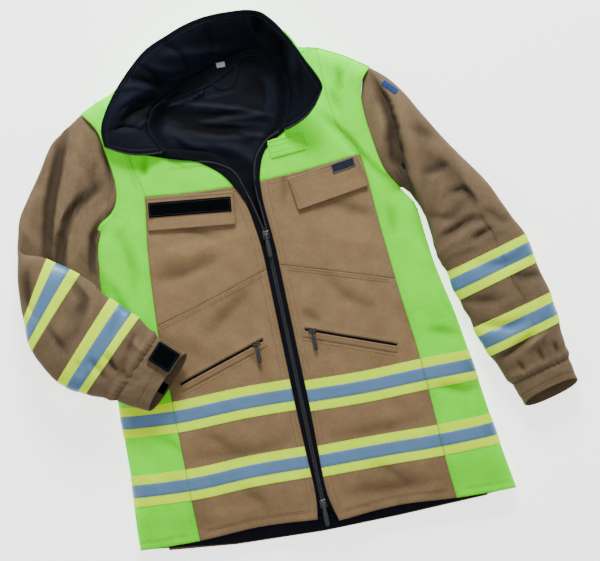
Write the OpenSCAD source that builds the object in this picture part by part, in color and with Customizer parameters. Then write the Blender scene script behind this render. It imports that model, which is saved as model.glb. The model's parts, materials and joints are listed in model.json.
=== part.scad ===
// Turnout coat, laid flat on its back with the front facing up.
// The front zip runs along Y at X = 0, the collar is towards +Y and the hem towards -Y.
// The wearer's right is -X. The back panel rests on Z = 0. All sizes are millimetres.

/* [Layers] */
// Height of the body from the back panel to the front panels
body_h = 32; // [30:1:40]
// Thickness of the outer shell fabric
shell_t = 2.8; // [1.5:0.1:2.8]
// Thickness of the lining fabric
lining_t = 1.0; // [0.6:0.1:1.2]
// Thickness of the sleeve wall
sleeve_t = 1.8; // [1.2:0.1:2.2]
// Thickness of the reflective trim
trim_t = 0.6; // [0.4:0.1:0.8]

/* [Zips] */
// Width of each visible half of the main zip tape
zip_gap = 11; // [9:0.5:12]
// Width of one row of teeth
teeth_w = 3; // [2.4:0.1:3.2]
// Height of a zip slider's channel above the tape
slider_h = 2.6; // [2.5:0.1:3]
// Length of the main zip's pull
main_pull_l = 36; // [28:1:40]
// Length of a pocket zip's pull
pocket_pull_l = 32; // [24:1:36]
// Length of a hand pocket's zip
pocket_zip_l = 142; // [120:2:146]

/* [Flaps and tabs] */
// Width of a chest flap
flap_w = 140; // [120:2:142]
// Depth of a chest flap
flap_d = 54; // [40:1:58]
// Thickness of a chest flap
flap_t = 2.2; // [1.6:0.1:2.6]
// Length of the microphone tab
mic_l = 60; // [50:1:62]
// Width of the microphone tab
mic_w = 31; // [24:1:34]

/* [Hidden] */

gap = 0.2;                        // air between neighbouring layers
move_gap = 0.4;                   // air under a piece that moves
front_z = body_h - shell_t;       // underside of the front panels
tape_t = 1.0;                     // zip tape thickness
tape_z = front_z - gap - tape_t;  // underside of the zip tape
bag_t = 2.6;                      // a flat pocket bag
bag_z = tape_z - gap - bag_t;
front_lining_z = bag_z - gap - lining_t;
back_lining_z = shell_t + gap;
teeth_h = 2.0;
side_wrap = 45;                   // how far a side panel reaches round to the back
wall = 3;                         // thickness of the rolled side edges
slider_w = 11;
slider_l = 15;
skin_t = 1.4;                     // a slider's plate
pin_r = 0.8;
pin_clear = 0.08;
trim_w = 50;

tan = [0.55, 0.42, 0.29];
lime = [0.58, 0.98, 0.18];
black = [0.06, 0.07, 0.1];
silver = [0.55, 0.6, 0.7];
white = [0.85, 0.86, 0.9];
blue = [0.05, 0.2, 0.5];

// ---- curves -------------------------------------------------------------

function between(a, b, c, d, t) =
    0.5 * (2 * b + (c - a) * t + (2 * a - 5 * b + 4 * c - d) * t * t
        + (3 * b - a - 3 * c + d) * t * t * t);
// A smooth line through the points p, with n steps between neighbours.
function curve(p, n = 4) = let (last = len(p) - 1) [
    for (i = [0:last - 1]) for (j = [0:n - 1])
        between(p[max(i - 1, 0)], p[i], p[i + 1], p[min(i + 2, last)], j / n),
    p[last]];
function rev(p) = [for (i = [len(p) - 1:-1:0]) p[i]];
function moved(p, d) = [for (q = p) q + d];

// Edges that run up the coat, as [y, x], from the hem upwards.
side_right = curve([[-358, -303], [-306, -300], [-250, -294], [-150, -290], [-60, -287],
    [60, -281], [110, -277], [153, -266]]);
side_left = curve([[-382, 309], [-320, 300], [-260, 292], [-180, 283], [-90, 271],
    [-10, 256], [45, 250], [93, 245], [123, 228]]);
seam_right = curve([[-362, -206], [-245, -205], [-131, -203], [-41, -203], [16, -200],
    [113, -191], [196, -178], [232, -184], [272, -188], [330, -188], [374, -186]]);
seam_left = curve([[-380, 212], [-316, 207], [-217, 204], [-126, 199], [-34, 190],
    [90, 181], [192, 174], [238, 150], [293, 142], [374, 141]]);
front_edge_right = curve([[-366, -14], [-320, -9], [-200, -zip_gap], [0, -zip_gap], [60, -zip_gap],
    [90, -12.5], [115, -15.5], [146, -20], [174, -27], [200, -34], [222, -44], [240, -72], [247, -98]]);
front_edge_left = curve([[-375, 20], [-320, 9], [-200, zip_gap], [0, zip_gap], [60, zip_gap],
    [96, 9.5], [140, 7], [166, 7], [195, 10], [223, 20], [242, 44], [252, 62]]);
// Edges that run across the coat, as [x, y].
hem_right = curve([[-310, -357], [-206, -361], [-108, -359], [-14, -366], [0, -367]]);
hem_left = curve([[0, -374], [20, -375], [119, -371], [212, -379], [312, -383]]);
yoke_right = curve([[-230, 201], [-178, 196], [-106, 188], [-20, 182]]);
yoke_left = curve([[0, 183], [73, 185], [174, 192], [230, 196]]);
waist_right = curve([[-210, -13], [-110, 13], [-9, 43], [0, 46]]);
waist_left = curve([[0, 49], [87, 20], [190, -16], [200, -19]]);
band_upper_right = curve([[-310, -124], [-204, -134], [-93, -134], [0, -138]]);
band_upper_left = curve([[0, -144], [100, -149], [199, -149], [300, -151]]);
band_lower_right = curve([[-320, -235], [-198, -245], [-99, -244], [0, -248]]);
band_lower_left = curve([[0, -251], [111, -254], [208, -258], [310, -258]]);
// Closed edges, in plan.
armhole_right = curve([[-266, 153], [-258, 167], [-235, 182], [-223, 201], [-219, 233], [-225, 283],
    [-231, 317], [-251, 349]], 3);
armhole_left = curve([[228, 123], [207, 159], [196, 226], [194, 276], [202, 307], [218, 326]], 3);
shoulder_right = [[-251, 349], [-225, 361], [-186, 374]];
shoulder_left = [[218, 326], [182, 352], [141, 374]];

function x_at(edge, y) = lookup(y, edge);
function y_at(edge, x) = lookup(x, edge);
// The corner where an upward edge meets an across edge.
function corner(up, across) = let (y0 = y_at(across, 0), x0 = x_at(up, y0), y1 = y_at(across, x0),
    x1 = x_at(up, y1), y2 = y_at(across, x1)) [x_at(up, y2), y2];
// Points of an upward edge between two heights, and of an across edge between two widths.
function rise(up, ya, yb) = [for (p = up) if (p[0] > ya + 1 && p[0] < yb - 1) [p[1], p[0]]];
function run(across, xa, xb) = [for (p = across) if (p[0] > xa + 1 && p[0] < xb - 1) p];
// A panel between a left and a right edge, over a bottom and under a top edge.
function panel(left, right, bottom, top) = let (bl = corner(left, bottom), br = corner(right, bottom),
    tl = corner(left, top), tr = corner(right, top)) concat(
    [bl], run(bottom, bl[0], br[0]), [br], rise(right, br[1], tr[1]), [tr],
    rev(run(top, tl[0], tr[0])), [tl], rev(rise(left, bl[1], tl[1])));
// An edge moved sideways, or an across edge moved up or down.
function shift(edge, d) = [for (p = edge) [p[0], p[1] + d]];

module plate(outline, z, t) {
    translate([0, 0, z]) linear_extrude(height = t) polygon(outline);
}

// ---- swept shells --------------------------------------------------------

// A closed solid between an outer and an inner grid of points with the same rows and columns.
// closed joins the last column to the first, as in a tube.
module skin(outer, inner, closed = false, flip = false) {
    m = len(outer);
    k = len(outer[0]);
    cols = closed ? k : k - 1;
    function o(i, j) = i * k + j % k;
    function n(i, j) = m * k + i * k + j % k;
    faces = concat(
        [for (i = [0:m - 2]) for (j = [0:cols - 1]) each
            [[o(i, j), o(i + 1, j), o(i + 1, j + 1)], [o(i, j), o(i + 1, j + 1), o(i, j + 1)],
             [n(i, j), n(i + 1, j + 1), n(i + 1, j)], [n(i, j), n(i, j + 1), n(i + 1, j + 1)]]],
        [for (j = [0:cols - 1]) each
            [[o(0, j), o(0, j + 1), n(0, j + 1)], [o(0, j), n(0, j + 1), n(0, j)],
             [o(m - 1, j), n(m - 1, j + 1), o(m - 1, j + 1)], [o(m - 1, j), n(m - 1, j), n(m - 1, j + 1)]]],
        closed ? [] : [for (i = [0:m - 2]) each
            [[o(i, 0), n(i, 0), n(i + 1, 0)], [o(i, 0), n(i + 1, 0), o(i + 1, 0)],
             [o(i, k - 1), n(i + 1, k - 1), n(i, k - 1)],
             [o(i, k - 1), o(i + 1, k - 1), n(i + 1, k - 1)]]]);
    points = [for (r = outer) each r, for (r = inner) each r];
    polyhedron(points, flip ? [for (f = faces) [f[2], f[1], f[0]]] : faces);
}

function soft(x) = sign(x) * pow(abs(x), 0.8);
// One ring of a sleeve. A station is [outer x, y, inner x, y, centre z, half height, bulge];
// the ring is drawn in by inset, between the angles a and b.
function ring(s, inset, a, b, n) = let (o = [s[0], s[1]], i = [s[2], s[3]], c = (o + i) / 2,
    h = norm(o - i) / 2, u = (o - i) / (2 * h), d = [u[1], -u[0]]) [
    for (j = [0:n]) let (t = a + (b - a) * j / n, x = soft(cos(t)),
        p = c + u * (h - inset) * x - d * s[6] * (1 - x * x))
        [p[0], p[1], s[4] + (s[5] - inset) * soft(sin(t))]];
function rings(list, inset, a, b, n) = [for (s = list) ring(s, inset, a, b, n)];
function part_of(list, a, b) = [for (i = [a:b]) list[i]];

module half_tube(list, inset, t, a, flip) {
    skin(rings(list, inset, a, a + 180, 12), rings(list, inset + t, a, a + 180, 12), flip = flip);
}
module tube(list, inset, t, flip) {
    skin(rings(list, inset, 0, 345, 23), rings(list, inset + t, 0, 345, 23), closed = true, flip = flip);
}

left_arm = curve([[221, 324, 233, 124, 17, 15.5, 24], [260, 281, 247, 101, 21, 19.5, 15],
    [306, 197, 254.5, 64, 24, 22.5, 4], [354, 122, 256, 32, 26, 24.5, 0], [388, 52, 262, 0, 27, 25.5, 0],
    [406, 12, 270, -22, 26, 24.5, 0], [416, -36, 281, -70, 26, 24.5, 0], [425, -88, 294, -118, 25, 23.5, 0],
    [430, -138, 310, -168, 24, 22.5, 0], [433, -170, 324, -196, 22, 20, 0],
    [434, -196, 337, -219, 20.5, 16.6, 0]], 2);
left_cuff = [[434, -197.5, 337, -220.5, 20.5, 16.6, 0], [438, -215, 343, -238, 20.5, 16.6, 0],
    [441, -233, 349, -255, 20.5, 16.6, 0]];
right_arm = curve([[-253, 348, -268, 156, 17, 15.5, -24], [-302, 314, -280, 128, 18, 16.5, -14],
    [-346, 256, -287, 95, 17.5, 16, -4], [-380, 205, -294, 60, 16.5, 15, 0], [-397, 150, -300, 20, 16.5, 15, 0],
    [-404, 90, -308, -8, 16.5, 15, 0], [-404, 40, -322, -30, 16.5, 15, 0],
    [-399, -20, -346, -45, 16.5, 15, 0]], 2);
right_forearm = curve([[-386, 150, -404, 98, 47.5, 14, 0], [-350, 131, -406, 44, 52.6, 18.5, 0],
    [-304, 95, -403, -8, 54.6, 20.5, 0], [-264, 50, -374, -64, 54.6, 20.5, 0],
    [-226, 8, -333, -92, 54.1, 20, 0], [-212, -12, -308, -104, 52.2, 18, 0],
    [-203, -27, -289, -112, 51.2, 17, 0]], 2);
right_cuff = [[-202, -28, -288, -113, 51.2, 17, 0], [-183, -44, -264, -127, 51.2, 17, 0],
    [-164, -61, -241, -140, 51.2, 17, 0]];

// ---- body panels ---------------------------------------------------------

trim_hollow = trim_t + 0.05;  // the back fabric gives way to the trim that it lies on

function back_outline() = concat(
    [for (p = rev(rise(side_right, -400, 150))) p + [side_wrap, 0]],
    [[-258, -367], [-150, -380], [-8, -388], [115, -389], [262, -386]],
    [for (p = rise(side_left, -375, 122)) p - [side_wrap, 0]],
    [[183, 123]], [for (p = moved(armhole_left, [-3, 0])) if (p[1] < 198) p], [[195, 199]],
    [[-220, 199]], [for (p = rev(moved(armhole_right, [4, 0]))) if (p[1] < 198) p], [[-221, 153]]);

function back_band(right_edge, left_edge) = concat(
    [for (x = [-240, -160, -80, -4]) [x, y_at(right_edge, x)]],
    [for (x = [80, 160, 228]) [x, y_at(left_edge, x)]],
    [for (x = [228, 160, 80]) [x, y_at(left_edge, x) - trim_w]],
    [for (x = [-4, -80, -160, -240]) [x, y_at(right_edge, x) - trim_w]]);

module back_panel() {
    color(tan) difference() {
        plate(back_outline(), 0, shell_t);
        plate(back_band(band_upper_right, band_upper_left), -1, 1 + trim_hollow);
        plate(back_band(band_lower_right, band_lower_left), -1, 1 + trim_hollow);
    }
}

module trim_back() {
    color(lime) {
        plate(back_band(band_upper_right, band_upper_left), 0, trim_t);
        plate(back_band(band_lower_right, band_lower_left), 0, trim_t);
    }
}

module back_yoke() {
    neck = curve([[-186, 374], [-150, 362], [-112, 352], [-77, 370], [-23, 391], [20, 401], [54, 397],
        [100, 386], [141, 374]], 2);
    color(lime) {
        plate(concat([[-220, 199.5]], [for (p = moved(armhole_right, [3, 0])) if (p[1] > 202) p],
            neck, rev(shoulder_left), [for (p = rev(moved(armhole_left, [-3, 0]))) if (p[1] > 202) p],
            [[194, 199.5]]), 0, shell_t);
        for (edge = [shoulder_right, shoulder_left])
            plate(concat(edge, rev(moved(edge, [0, -wall]))), shell_t - 0.01, front_z - gap - shell_t);
    }
}

module side_edge(edge, top, inward) {
    line = rise(edge, -400, top);
    plate(concat(line, rev(moved(line, [inward * wall, 0]))), 0, body_h - 0.01);
    plate(concat(line, rev(moved(line, [inward * (side_wrap - gap), 0]))), 0, shell_t);
}

module side_panel_right() {
    color(lime) {
        hem = corner(side_right, hem_right);
        inner = corner(seam_right, hem_right);
        plate(concat([hem], run(hem_right, hem[0], inner[0]), [inner],
            rise(seam_right, inner[1], 372), rev(shoulder_right), rev(armhole_right),
            rev(rise(side_right, hem[1], 150))), front_z, shell_t);
        side_edge(side_right, 150, 1);
    }
}

module side_panel_left() {
    color(lime) {
        hem = corner(side_left, hem_left);
        inner = corner(seam_left, hem_left);
        plate(concat([inner], run(hem_left, inner[0], hem[0]), [hem], rise(side_left, hem[1], 122),
            armhole_left, shoulder_left, rev(rise(seam_left, inner[1], 372))), front_z, shell_t);
        side_edge(side_left, 121, -1);
    }
}

// The mouth of a chest pocket is a slot in the front, under the flap.
mouth_d = 5;
module pocket_mouth(f, w) {
    at_flap(f) translate([10, -26, -flap_t - shell_t - 2]) cube([w - 20, mouth_d, shell_t + 3]);
}
module front_right_upper() {
    color(tan) difference() {
        plate(panel(shift(seam_right, gap), front_edge_right, shift(waist_right, gap / 2),
            shift(yoke_right, -gap / 2)), front_z, shell_t);
        pocket_mouth(flap_right, flap_w);
    }
}
module front_left_upper() {
    color(tan) difference() {
        plate(panel(front_edge_left, shift(seam_left, -gap), shift(waist_left, gap / 2),
            shift(yoke_left, -gap / 2)), front_z, shell_t);
        pocket_mouth(flap_left, flap_left_w);
    }
}

// A hand pocket's zip runs from its upper inner end, down and out at an angle.
pocket_right = [-44, -68, 180 + 16.5];
pocket_left = [33, -66, -21.5];
window_w = 12;
module at_pocket(p) {
    translate([p[0], p[1], 0]) rotate([0, 0, p[2]]) children();
}
module pocket_window(p) {
    at_pocket(p) translate([-4, -window_w / 2, front_z - 1]) cube([pocket_zip_l + 8, window_w, shell_t + 2]);
}

module front_right_lower() {
    color(tan) difference() {
        plate(panel(shift(seam_right, gap), front_edge_right, hem_right,
            shift(waist_right, -gap / 2)), front_z, shell_t);
        pocket_window(pocket_right);
    }
}
module front_left_lower() {
    color(tan) difference() {
        plate(panel(front_edge_left, shift(seam_left, -gap), hem_left,
            shift(waist_left, -gap / 2)), front_z, shell_t);
        pocket_window(pocket_left);
    }
}

module front_right_yoke() {
    left = corner(shift(seam_right, gap), shift(yoke_right, gap / 2));
    right = corner(front_edge_right, shift(yoke_right, gap / 2));
    color(lime) plate(concat([left], run(shift(yoke_right, gap / 2), left[0], right[0]), [right],
        rise(front_edge_right, right[1], 250), [[-104, 250], [-140, 262], [-158, 300], [-168, 335],
        [-172, 368], [-185.5, 373]], rev(rise(shift(seam_right, gap), left[1], 372))), front_z, shell_t);
}
module front_left_yoke() {
    left = corner(front_edge_left, shift(yoke_left, gap / 2));
    right = corner(shift(seam_left, -gap), shift(yoke_left, gap / 2));
    color(lime) plate(concat([left], run(shift(yoke_left, gap / 2), left[0], right[0]), [right],
        rise(shift(seam_left, -gap), right[1], 372), [[140.5, 373.5], [126, 378], [114, 366], [104, 330], [90, 290],
        [68, 256]], rev(rise(front_edge_left, left[1], 250))), front_z, shell_t);
}

// ---- lining --------------------------------------------------------------

lining_in = wall + 1;
module back_lining() {
    color(black) plate(concat(
        [for (p = rev(rise(side_right, -340, 150))) p + [lining_in, 0]],
        [[-296, -352], [-150, -372], [-8, -380], [115, -381], [300, -376]],
        [for (p = rise(side_left, -370, 120)) p - [lining_in, 0]],
        [for (p = moved(armhole_left, [-5, 0])) p], [[176, 348], [141, 366], [100, 379], [54, 390],
        [20, 394], [-23, 384], [-77, 363], [-112, 345], [-150, 356], [-186, 367], [-224, 354]],
        [for (p = rev(moved(armhole_right, [6, 0]))) if (p[1] < 340) p]), back_lining_z, lining_t);
}
module front_right_lining() {
    color(black) plate(concat(
        [for (p = rise(side_right, -345, 150)) p + [lining_in, 0]],
        [for (p = moved(armhole_right, [5, 0])) if (p[1] < 330) p],
        [[-222, 352], [-186, 366], [-176, 362], [-172, 335], [-162, 300], [-144, 266], [-104, 254]],
        rev([for (p = rise(front_edge_right, -340, 245)) p - [14, 0]]),
        [[-26, -352], [-108, -346], [-206, -348], [-296, -344]]), front_lining_z, lining_t);
}
module front_left_lining() {
    color(black) plate(concat(
        [for (p = rise(front_edge_left, -345, 240)) p + [14, 0]],
        [[70, 262], [94, 290], [108, 330], [118, 364], [141, 366], [178, 346], [206, 326]],
        rev([for (p = moved(armhole_left, [-5, 0])) if (p[1] < 316) p]),
        rev([for (p = rise(side_left, -365, 121)) p - [lining_in, 0]]),
        [[212, -366], [119, -358], [34, -362]]), front_lining_z, lining_t);
}
// A strip behind the zip, sewn to the wearer's left front.
module storm_flap() {
    color(black) plate([[-16, -366], [21, -366], [21, 92], [-16, 92]], front_lining_z - 1.4, 1.2);
}

// ---- collar ----------------------------------------------------------------

// The neck seam and the collar's free edge, from the right front round the back to the left front.
neck_seam = [[-134, 260, 35], [-150, 298, 35], [-138, 330, 26], [-112, 346, 13], [-77, 364, 9],
    [-23, 385, 8], [20, 395, 8], [54, 390, 11], [80, 365, 23], [86, 325, 34], [78, 288, 35.5], [63, 254, 35.5]];
collar_edge = [[-222, 288, 38], [-220, 320, 44], [-188, 368, 54], [-134, 418, 58], [-90, 438, 60],
    [-45, 452, 61], [8, 455, 62], [62, 444, 72], [98, 398, 88], [118, 352, 96], [132, 322, 88], [135, 306, 76]];
collar_bow = 7;
collar_cols = 5;
function collar_row(a, b) = [for (j = [0:collar_cols]) let (t = j / collar_cols)
    a + (b - a) * t + [0, 0, collar_bow * 4 * t * (1 - t)]];
collar_grid = let (a = curve(neck_seam, 3), b = curve(collar_edge, 3))
    [for (i = [0:len(a) - 1]) collar_row(a[i], b[i])];
function unit(v) = v / norm(v);
function grid_normal(g, i, j) = let (m = len(g) - 1, k = len(g[0]) - 1)
    unit(cross(g[min(i + 1, m)][j] - g[max(i - 1, 0)][j], g[i][min(j + 1, k)] - g[i][max(j - 1, 0)]));
function grid_out(g, d) = [for (i = [0:len(g) - 1]) [for (j = [0:len(g[0]) - 1])
    g[i][j] + d * grid_normal(g, i, j)]];

module collar_lining() {
    color(black) skin(grid_out(collar_grid, 1.1), grid_out(collar_grid, 0.1), flip = true);
}
module collar_shell() {
    color(lime) skin(grid_out(collar_grid, -0.1), grid_out(collar_grid, -1.6), flip = true);
}

// A loop for a coat hook: a flat strap sewn to the back neck at both ends.
loop_hinge = [-15, 374, 6.2];
loop_half = 27;
loop_drop = 34;
loop_strap = 6;
loop_t = 1.4;
function half_oval(a, b) = [for (t = [180:15:360]) [a * cos(t), b * sin(t)]];
module hanging_loop() {
    color(black) translate(loop_hinge) translate([0, -0.9, -loop_t / 2]) linear_extrude(height = loop_t)
        polygon(concat(half_oval(loop_half, loop_drop), rev(half_oval(loop_half - loop_strap, loop_drop - loop_strap))));
}
module size_label() {
    color(white) translate([-15, 372, back_lining_z + lining_t + gap]) translate([-7, 3.5, 0]) cube([14, 9, 0.6]);
}

// ---- sleeves ---------------------------------------------------------------

module sleeve_left_top() { color(tan) half_tube(left_arm, 0, sleeve_t, 0, false); }
module sleeve_left_under() { color(tan) half_tube(left_arm, 0, sleeve_t, 180, false); }
module sleeve_right_top() { color(tan) half_tube(right_arm, 0, sleeve_t, 0, true); }
module sleeve_right_under() { color(tan) half_tube(right_arm, 0, sleeve_t, 180, true); }
module forearm_right_top() { color(tan) half_tube(right_forearm, 0, sleeve_t, 0, false); }
module forearm_right_under() { color(tan) half_tube(right_forearm, 0, sleeve_t, 180, false); }
module sleeve_left_lining() { color(black) tube(left_arm, sleeve_t + gap, 0.8, false); }
module sleeve_right_lining() {
    color(black) {
        tube(right_arm, sleeve_t + gap, 0.8, true);
        tube(right_forearm, sleeve_t + gap, 0.8, false);
    }
}
module cuff_left() { color(tan) tube(left_cuff, 0, sleeve_t + 0.4, false); }
module cuff_right() { color(tan) tube(right_cuff, 0, sleeve_t + 0.4, false); }

trim_off = -(trim_t + 0.1);
module trim_sleeve_left() {
    color(lime) {
        tube(part_of(left_arm, 10, 12), trim_off, trim_t, false);
        tube(part_of(left_arm, 14, 16), trim_off, trim_t, false);
    }
}
module trim_sleeve_right() {
    color(lime) {
        tube(part_of(right_forearm, 2, 4), trim_off, trim_t, false);
        tube(part_of(right_forearm, 6, 8), trim_off, trim_t, false);
    }
}

// The cuff's closing tab: a strap on the back of the cuff, with a hook panel on its end.
tab_angle = 45.5;   // across the cuff, in plan
tab_slope = 8.5;    // down towards the cuff's outer edge
tab_hinge = [-183.5, -44.8, 67.4];
tab_l = 41;
tab_w = 42;
tab_t = 1.8;
module at_tab() { translate(tab_hinge) rotate([0, 0, tab_angle]) rotate([0, tab_slope, 0]) children(); }
module cuff_tab_right() {
    color(tan) at_tab() translate([-tab_l, -tab_w / 2, -tab_t]) cube([tab_l, tab_w, tab_t]);
}
module cuff_tab_patch_right() {
    color(black) at_tab() translate([-tab_l + 2, -tab_w / 2 + 2, 0.01]) cube([35, tab_w - 4, 1.2]);
}
module cuff_tab_left() {
    color(tan) translate([391, -226, 0.6]) rotate([0, 0, 14]) translate([-24, -14, 0]) cube([48, 28, 2.6]);
}

// ---- reflective trim --------------------------------------------------------

trim_in = 1.2;
module band(left, right, top, z = body_h) {
    plate(panel(left, right, shift(top, -trim_w), top), z, trim_t);
}
module trim_front_right() {
    color(lime) for (top = [band_upper_right, band_lower_right])
        band(shift(seam_right, trim_in), shift(front_edge_right, -trim_in), top);
}
module trim_front_left() {
    color(lime) for (top = [band_upper_left, band_lower_left])
        band(shift(front_edge_left, trim_in), shift(seam_left, -trim_in), top);
}
module trim_side_right() {
    color(lime) for (top = [band_upper_right, band_lower_right])
        band(shift(side_right, trim_in), shift(seam_right, -trim_in), top);
}
module trim_side_left() {
    color(lime) for (top = [band_upper_left, band_lower_left])
        band(shift(seam_left, trim_in), shift(side_left, -trim_in), top);
}

// ---- main zip ------------------------------------------------------------------

zip_open = 96;     // the upper slider's place, where the halves part
zip_bottom = -362;
module zip_tape(edge, side) {
    open = [for (p = edge) if (p[0] > zip_open + 14) [p[1] - side * zip_gap * 0.9, p[0]]];
    color(black) plate(concat([[side * 0.3, zip_bottom], [side * 0.3, zip_open + 9]], open,
        rev([for (p = open) p + [side * 21, 0]]), [[side * 20, zip_open + 9], [side * 20, zip_bottom]]),
        tape_z, tape_t);
}
module zip_tape_right() { zip_tape(front_edge_right, -1); }
module zip_tape_left() { zip_tape(front_edge_left, 1); }

module zip_teeth(edge, side) {
    open = [for (p = edge) if (p[0] > zip_open + 14) [p[1] - side * zip_gap * 0.85, p[0]]];
    color(black) plate(concat([[side * 0.1, zip_bottom + 6], [side * 0.1, zip_open + 9]], open,
        rev([for (p = open) p + [side * teeth_w, 0]]), [[side * (teeth_w + 0.1), zip_open + 9],
        [side * (teeth_w + 0.1), zip_bottom + 6]]), tape_z + tape_t + 0.02, teeth_h);
}
module zip_teeth_right() { zip_teeth(front_edge_right, -1); }
module zip_teeth_left() { zip_teeth(front_edge_left, 1); }

// A slider straddles the teeth: a plate, two skirts and the two ears that hold the pull's pin.
slider_z = tape_z + tape_t + move_gap;
pull_t = 1.6;
pin_z = slider_z + slider_h + skin_t + 2.0;
eye_r = 1.7;
neck_w = 5;
ear_in = 2.9;
ear_t = 1.2;
module slider(z = slider_z) {
    translate([-slider_w / 2, -slider_l / 2, z + slider_h]) cube([slider_w, slider_l, skin_t]);
    for (s = [-1, 1]) {
        translate([s * (slider_w / 2 - 0.6) - 0.6, -slider_l / 2, z]) cube([1.2, slider_l, slider_h + 0.01]);
        translate([s * (ear_in + ear_t / 2) - ear_t / 2, -2, z + slider_h + skin_t - 0.01]) cube([ear_t, 4, 3.6]);
    }
    translate([-ear_in - 0.3, 0, z + slider_h + skin_t + 2.0]) rotate([0, 90, 0])
        cylinder(r = pin_r, h = 2 * ear_in + 0.6, $fn = 32);
}
// A pull hangs from the slider's pin by its eye and lies along -Y.
module pull(length, width) {
    difference() {
        union() {
            translate([-neck_w / 2, 0, 0]) rotate([0, 90, 0]) cylinder(r = eye_r, h = neck_w, $fn = 32);
            translate([-neck_w / 2, -8, -eye_r + 0.05]) cube([neck_w, 8, pull_t]);
            translate([-width / 2, -length + width / 2, -eye_r + 0.05]) cube([width, length - 7 - width / 2, pull_t]);
            translate([0, -length + width / 2, -eye_r + 0.05]) cylinder(r = width / 2, h = pull_t, $fn = 32);
        }
        translate([-4, 0, 0]) rotate([0, 90, 0]) cylinder(r = pin_r + pin_clear, h = 8, $fn = 32);
        translate([0, -length + width / 2, -3]) cylinder(r = 1.2, h = 6, $fn = 24);
    }
}

slider_lower_y = zip_bottom + 18;
module slider_upper() { color(black) translate([0, zip_open, 0]) slider(); }
module pull_upper() { color(black) translate([0, zip_open, pin_z]) pull(main_pull_l, 7); }
module slider_lower() { color(black) translate([0, slider_lower_y, 0]) slider(); }
module pull_lower() { color(black) translate([0, slider_lower_y, pin_z]) pull(main_pull_l, 7); }

// ---- hand pockets --------------------------------------------------------------

module pocket_zip(p) {
    color(black) at_pocket(p) {
        translate([-8, -10, tape_z]) cube([pocket_zip_l + 14, 20, tape_t]);
        translate([-2, -2, tape_z + tape_t]) cube([pocket_zip_l + 2, 4, teeth_h]);
    }
}
pocket_slider_at = 8;
function pocket_point(p) = [p[0] + pocket_slider_at * cos(p[2]), p[1] + pocket_slider_at * sin(p[2])];
module pocket_slider(p) {
    at_pocket(p) translate([pocket_slider_at, 0, 0]) {
        translate([-6, -4.6, slider_z + slider_h]) cube([12, 9.2, skin_t]);
        for (s = [-1, 1])
            translate([-6, s * 4 - 0.6, slider_z]) cube([12, 1.2, slider_h + 0.01]);
    }
    q = pocket_point(p);
    translate([q[0], q[1], slider_z + slider_h + skin_t - 0.01]) {
        for (s = [-1, 1])
            translate([s * (ear_in + ear_t / 2) - ear_t / 2, -1.8, 0]) cube([ear_t, 3.6, 3.6]);
        translate([-ear_in - 0.3, 0, 2.01]) rotate([0, 90, 0]) cylinder(r = pin_r, h = 2 * ear_in + 0.6, $fn = 32);
    }
}
module pocket_pull(p) {
    q = pocket_point(p);
    translate([q[0], q[1], pin_z]) pull(pocket_pull_l, 7);
}
module pocket_zip_right() { pocket_zip(pocket_right); }
module pocket_zip_left() { pocket_zip(pocket_left); }
module pocket_slider_right() { color(black) pocket_slider(pocket_right); }
module pocket_slider_left() { color(black) pocket_slider(pocket_left); }
module pocket_pull_right() { color(black) pocket_pull(pocket_right); }
module pocket_pull_left() { color(black) pocket_pull(pocket_left); }

module hand_pocket_bags() {
    color(black) {
        plate([[-48, -56], [-186, -96], [-186, -230], [-48, -230]], bag_z, bag_t);
        plate([[36, -56], [172, -108], [172, -232], [36, -232]], bag_z, bag_t);
    }
}
module chest_pocket_bags() {
    color(black) {
        plate([[-168, 190], [-44, 172], [-44, 50], [-168, 28]], bag_z, bag_t);
        plate([[56, 176], [160, 188], [160, 26], [56, 44]], bag_z, bag_t);
    }
}

// ---- chest flaps and tabs ----------------------------------------------------------

flap_top = body_h + move_gap + flap_t;
flap_right = [-176, 194.5, -7.4];
flap_left = [52, 177.5, 7.4];
module at_flap(f) { translate([f[0], f[1], flap_top]) rotate([0, 0, f[2]]) children(); }
module chest_flap_right() {
    color(tan) at_flap(flap_right) translate([0, -flap_d, -flap_t]) cube([flap_w, flap_d, flap_t]);
}
module flap_loop_strip() {
    color(black) at_flap(flap_right) translate([3, -32, 0.01]) cube([flap_w - 8, 23, 1.4]);
}
flap_left_w = flap_w - 22;
module chest_flap_left() {
    color(tan) at_flap(flap_left) translate([0, -flap_d, -flap_t]) cube([flap_left_w, flap_d, flap_t]);
}
module blank_patch() {
    color(black) at_flap(flap_left) translate([flap_left_w - 46, -17, 0.01]) cube([38, 15, 1]);
}
mic_at = [32, 229, 3];
mic_t = 2.4;
module mic_tab() {
    color(lime) translate([mic_at[0], mic_at[1], body_h + 0.05]) rotate([0, 0, mic_at[2]]) {
        translate([0, -mic_w / 2, 0]) cube([mic_l - 5, mic_w, mic_t]);
        translate([0, -mic_w / 2 + 5, 0]) cube([mic_l, mic_w - 10, mic_t]);
        for (s = [-1, 1])
            translate([mic_l - 5, s * (mic_w / 2 - 5), 0]) cylinder(r = 5, h = mic_t, $fn = 32);
    }
}
// A plain badge base high on the left arm.
module shoulder_patch() {
    color(blue) translate([240, 284, 34]) rotate([0, 0, -48]) rotate([-30, 0, 0]) translate([-14, -5.5, 0]) cube([28, 11, 0.8]);
}

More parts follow.
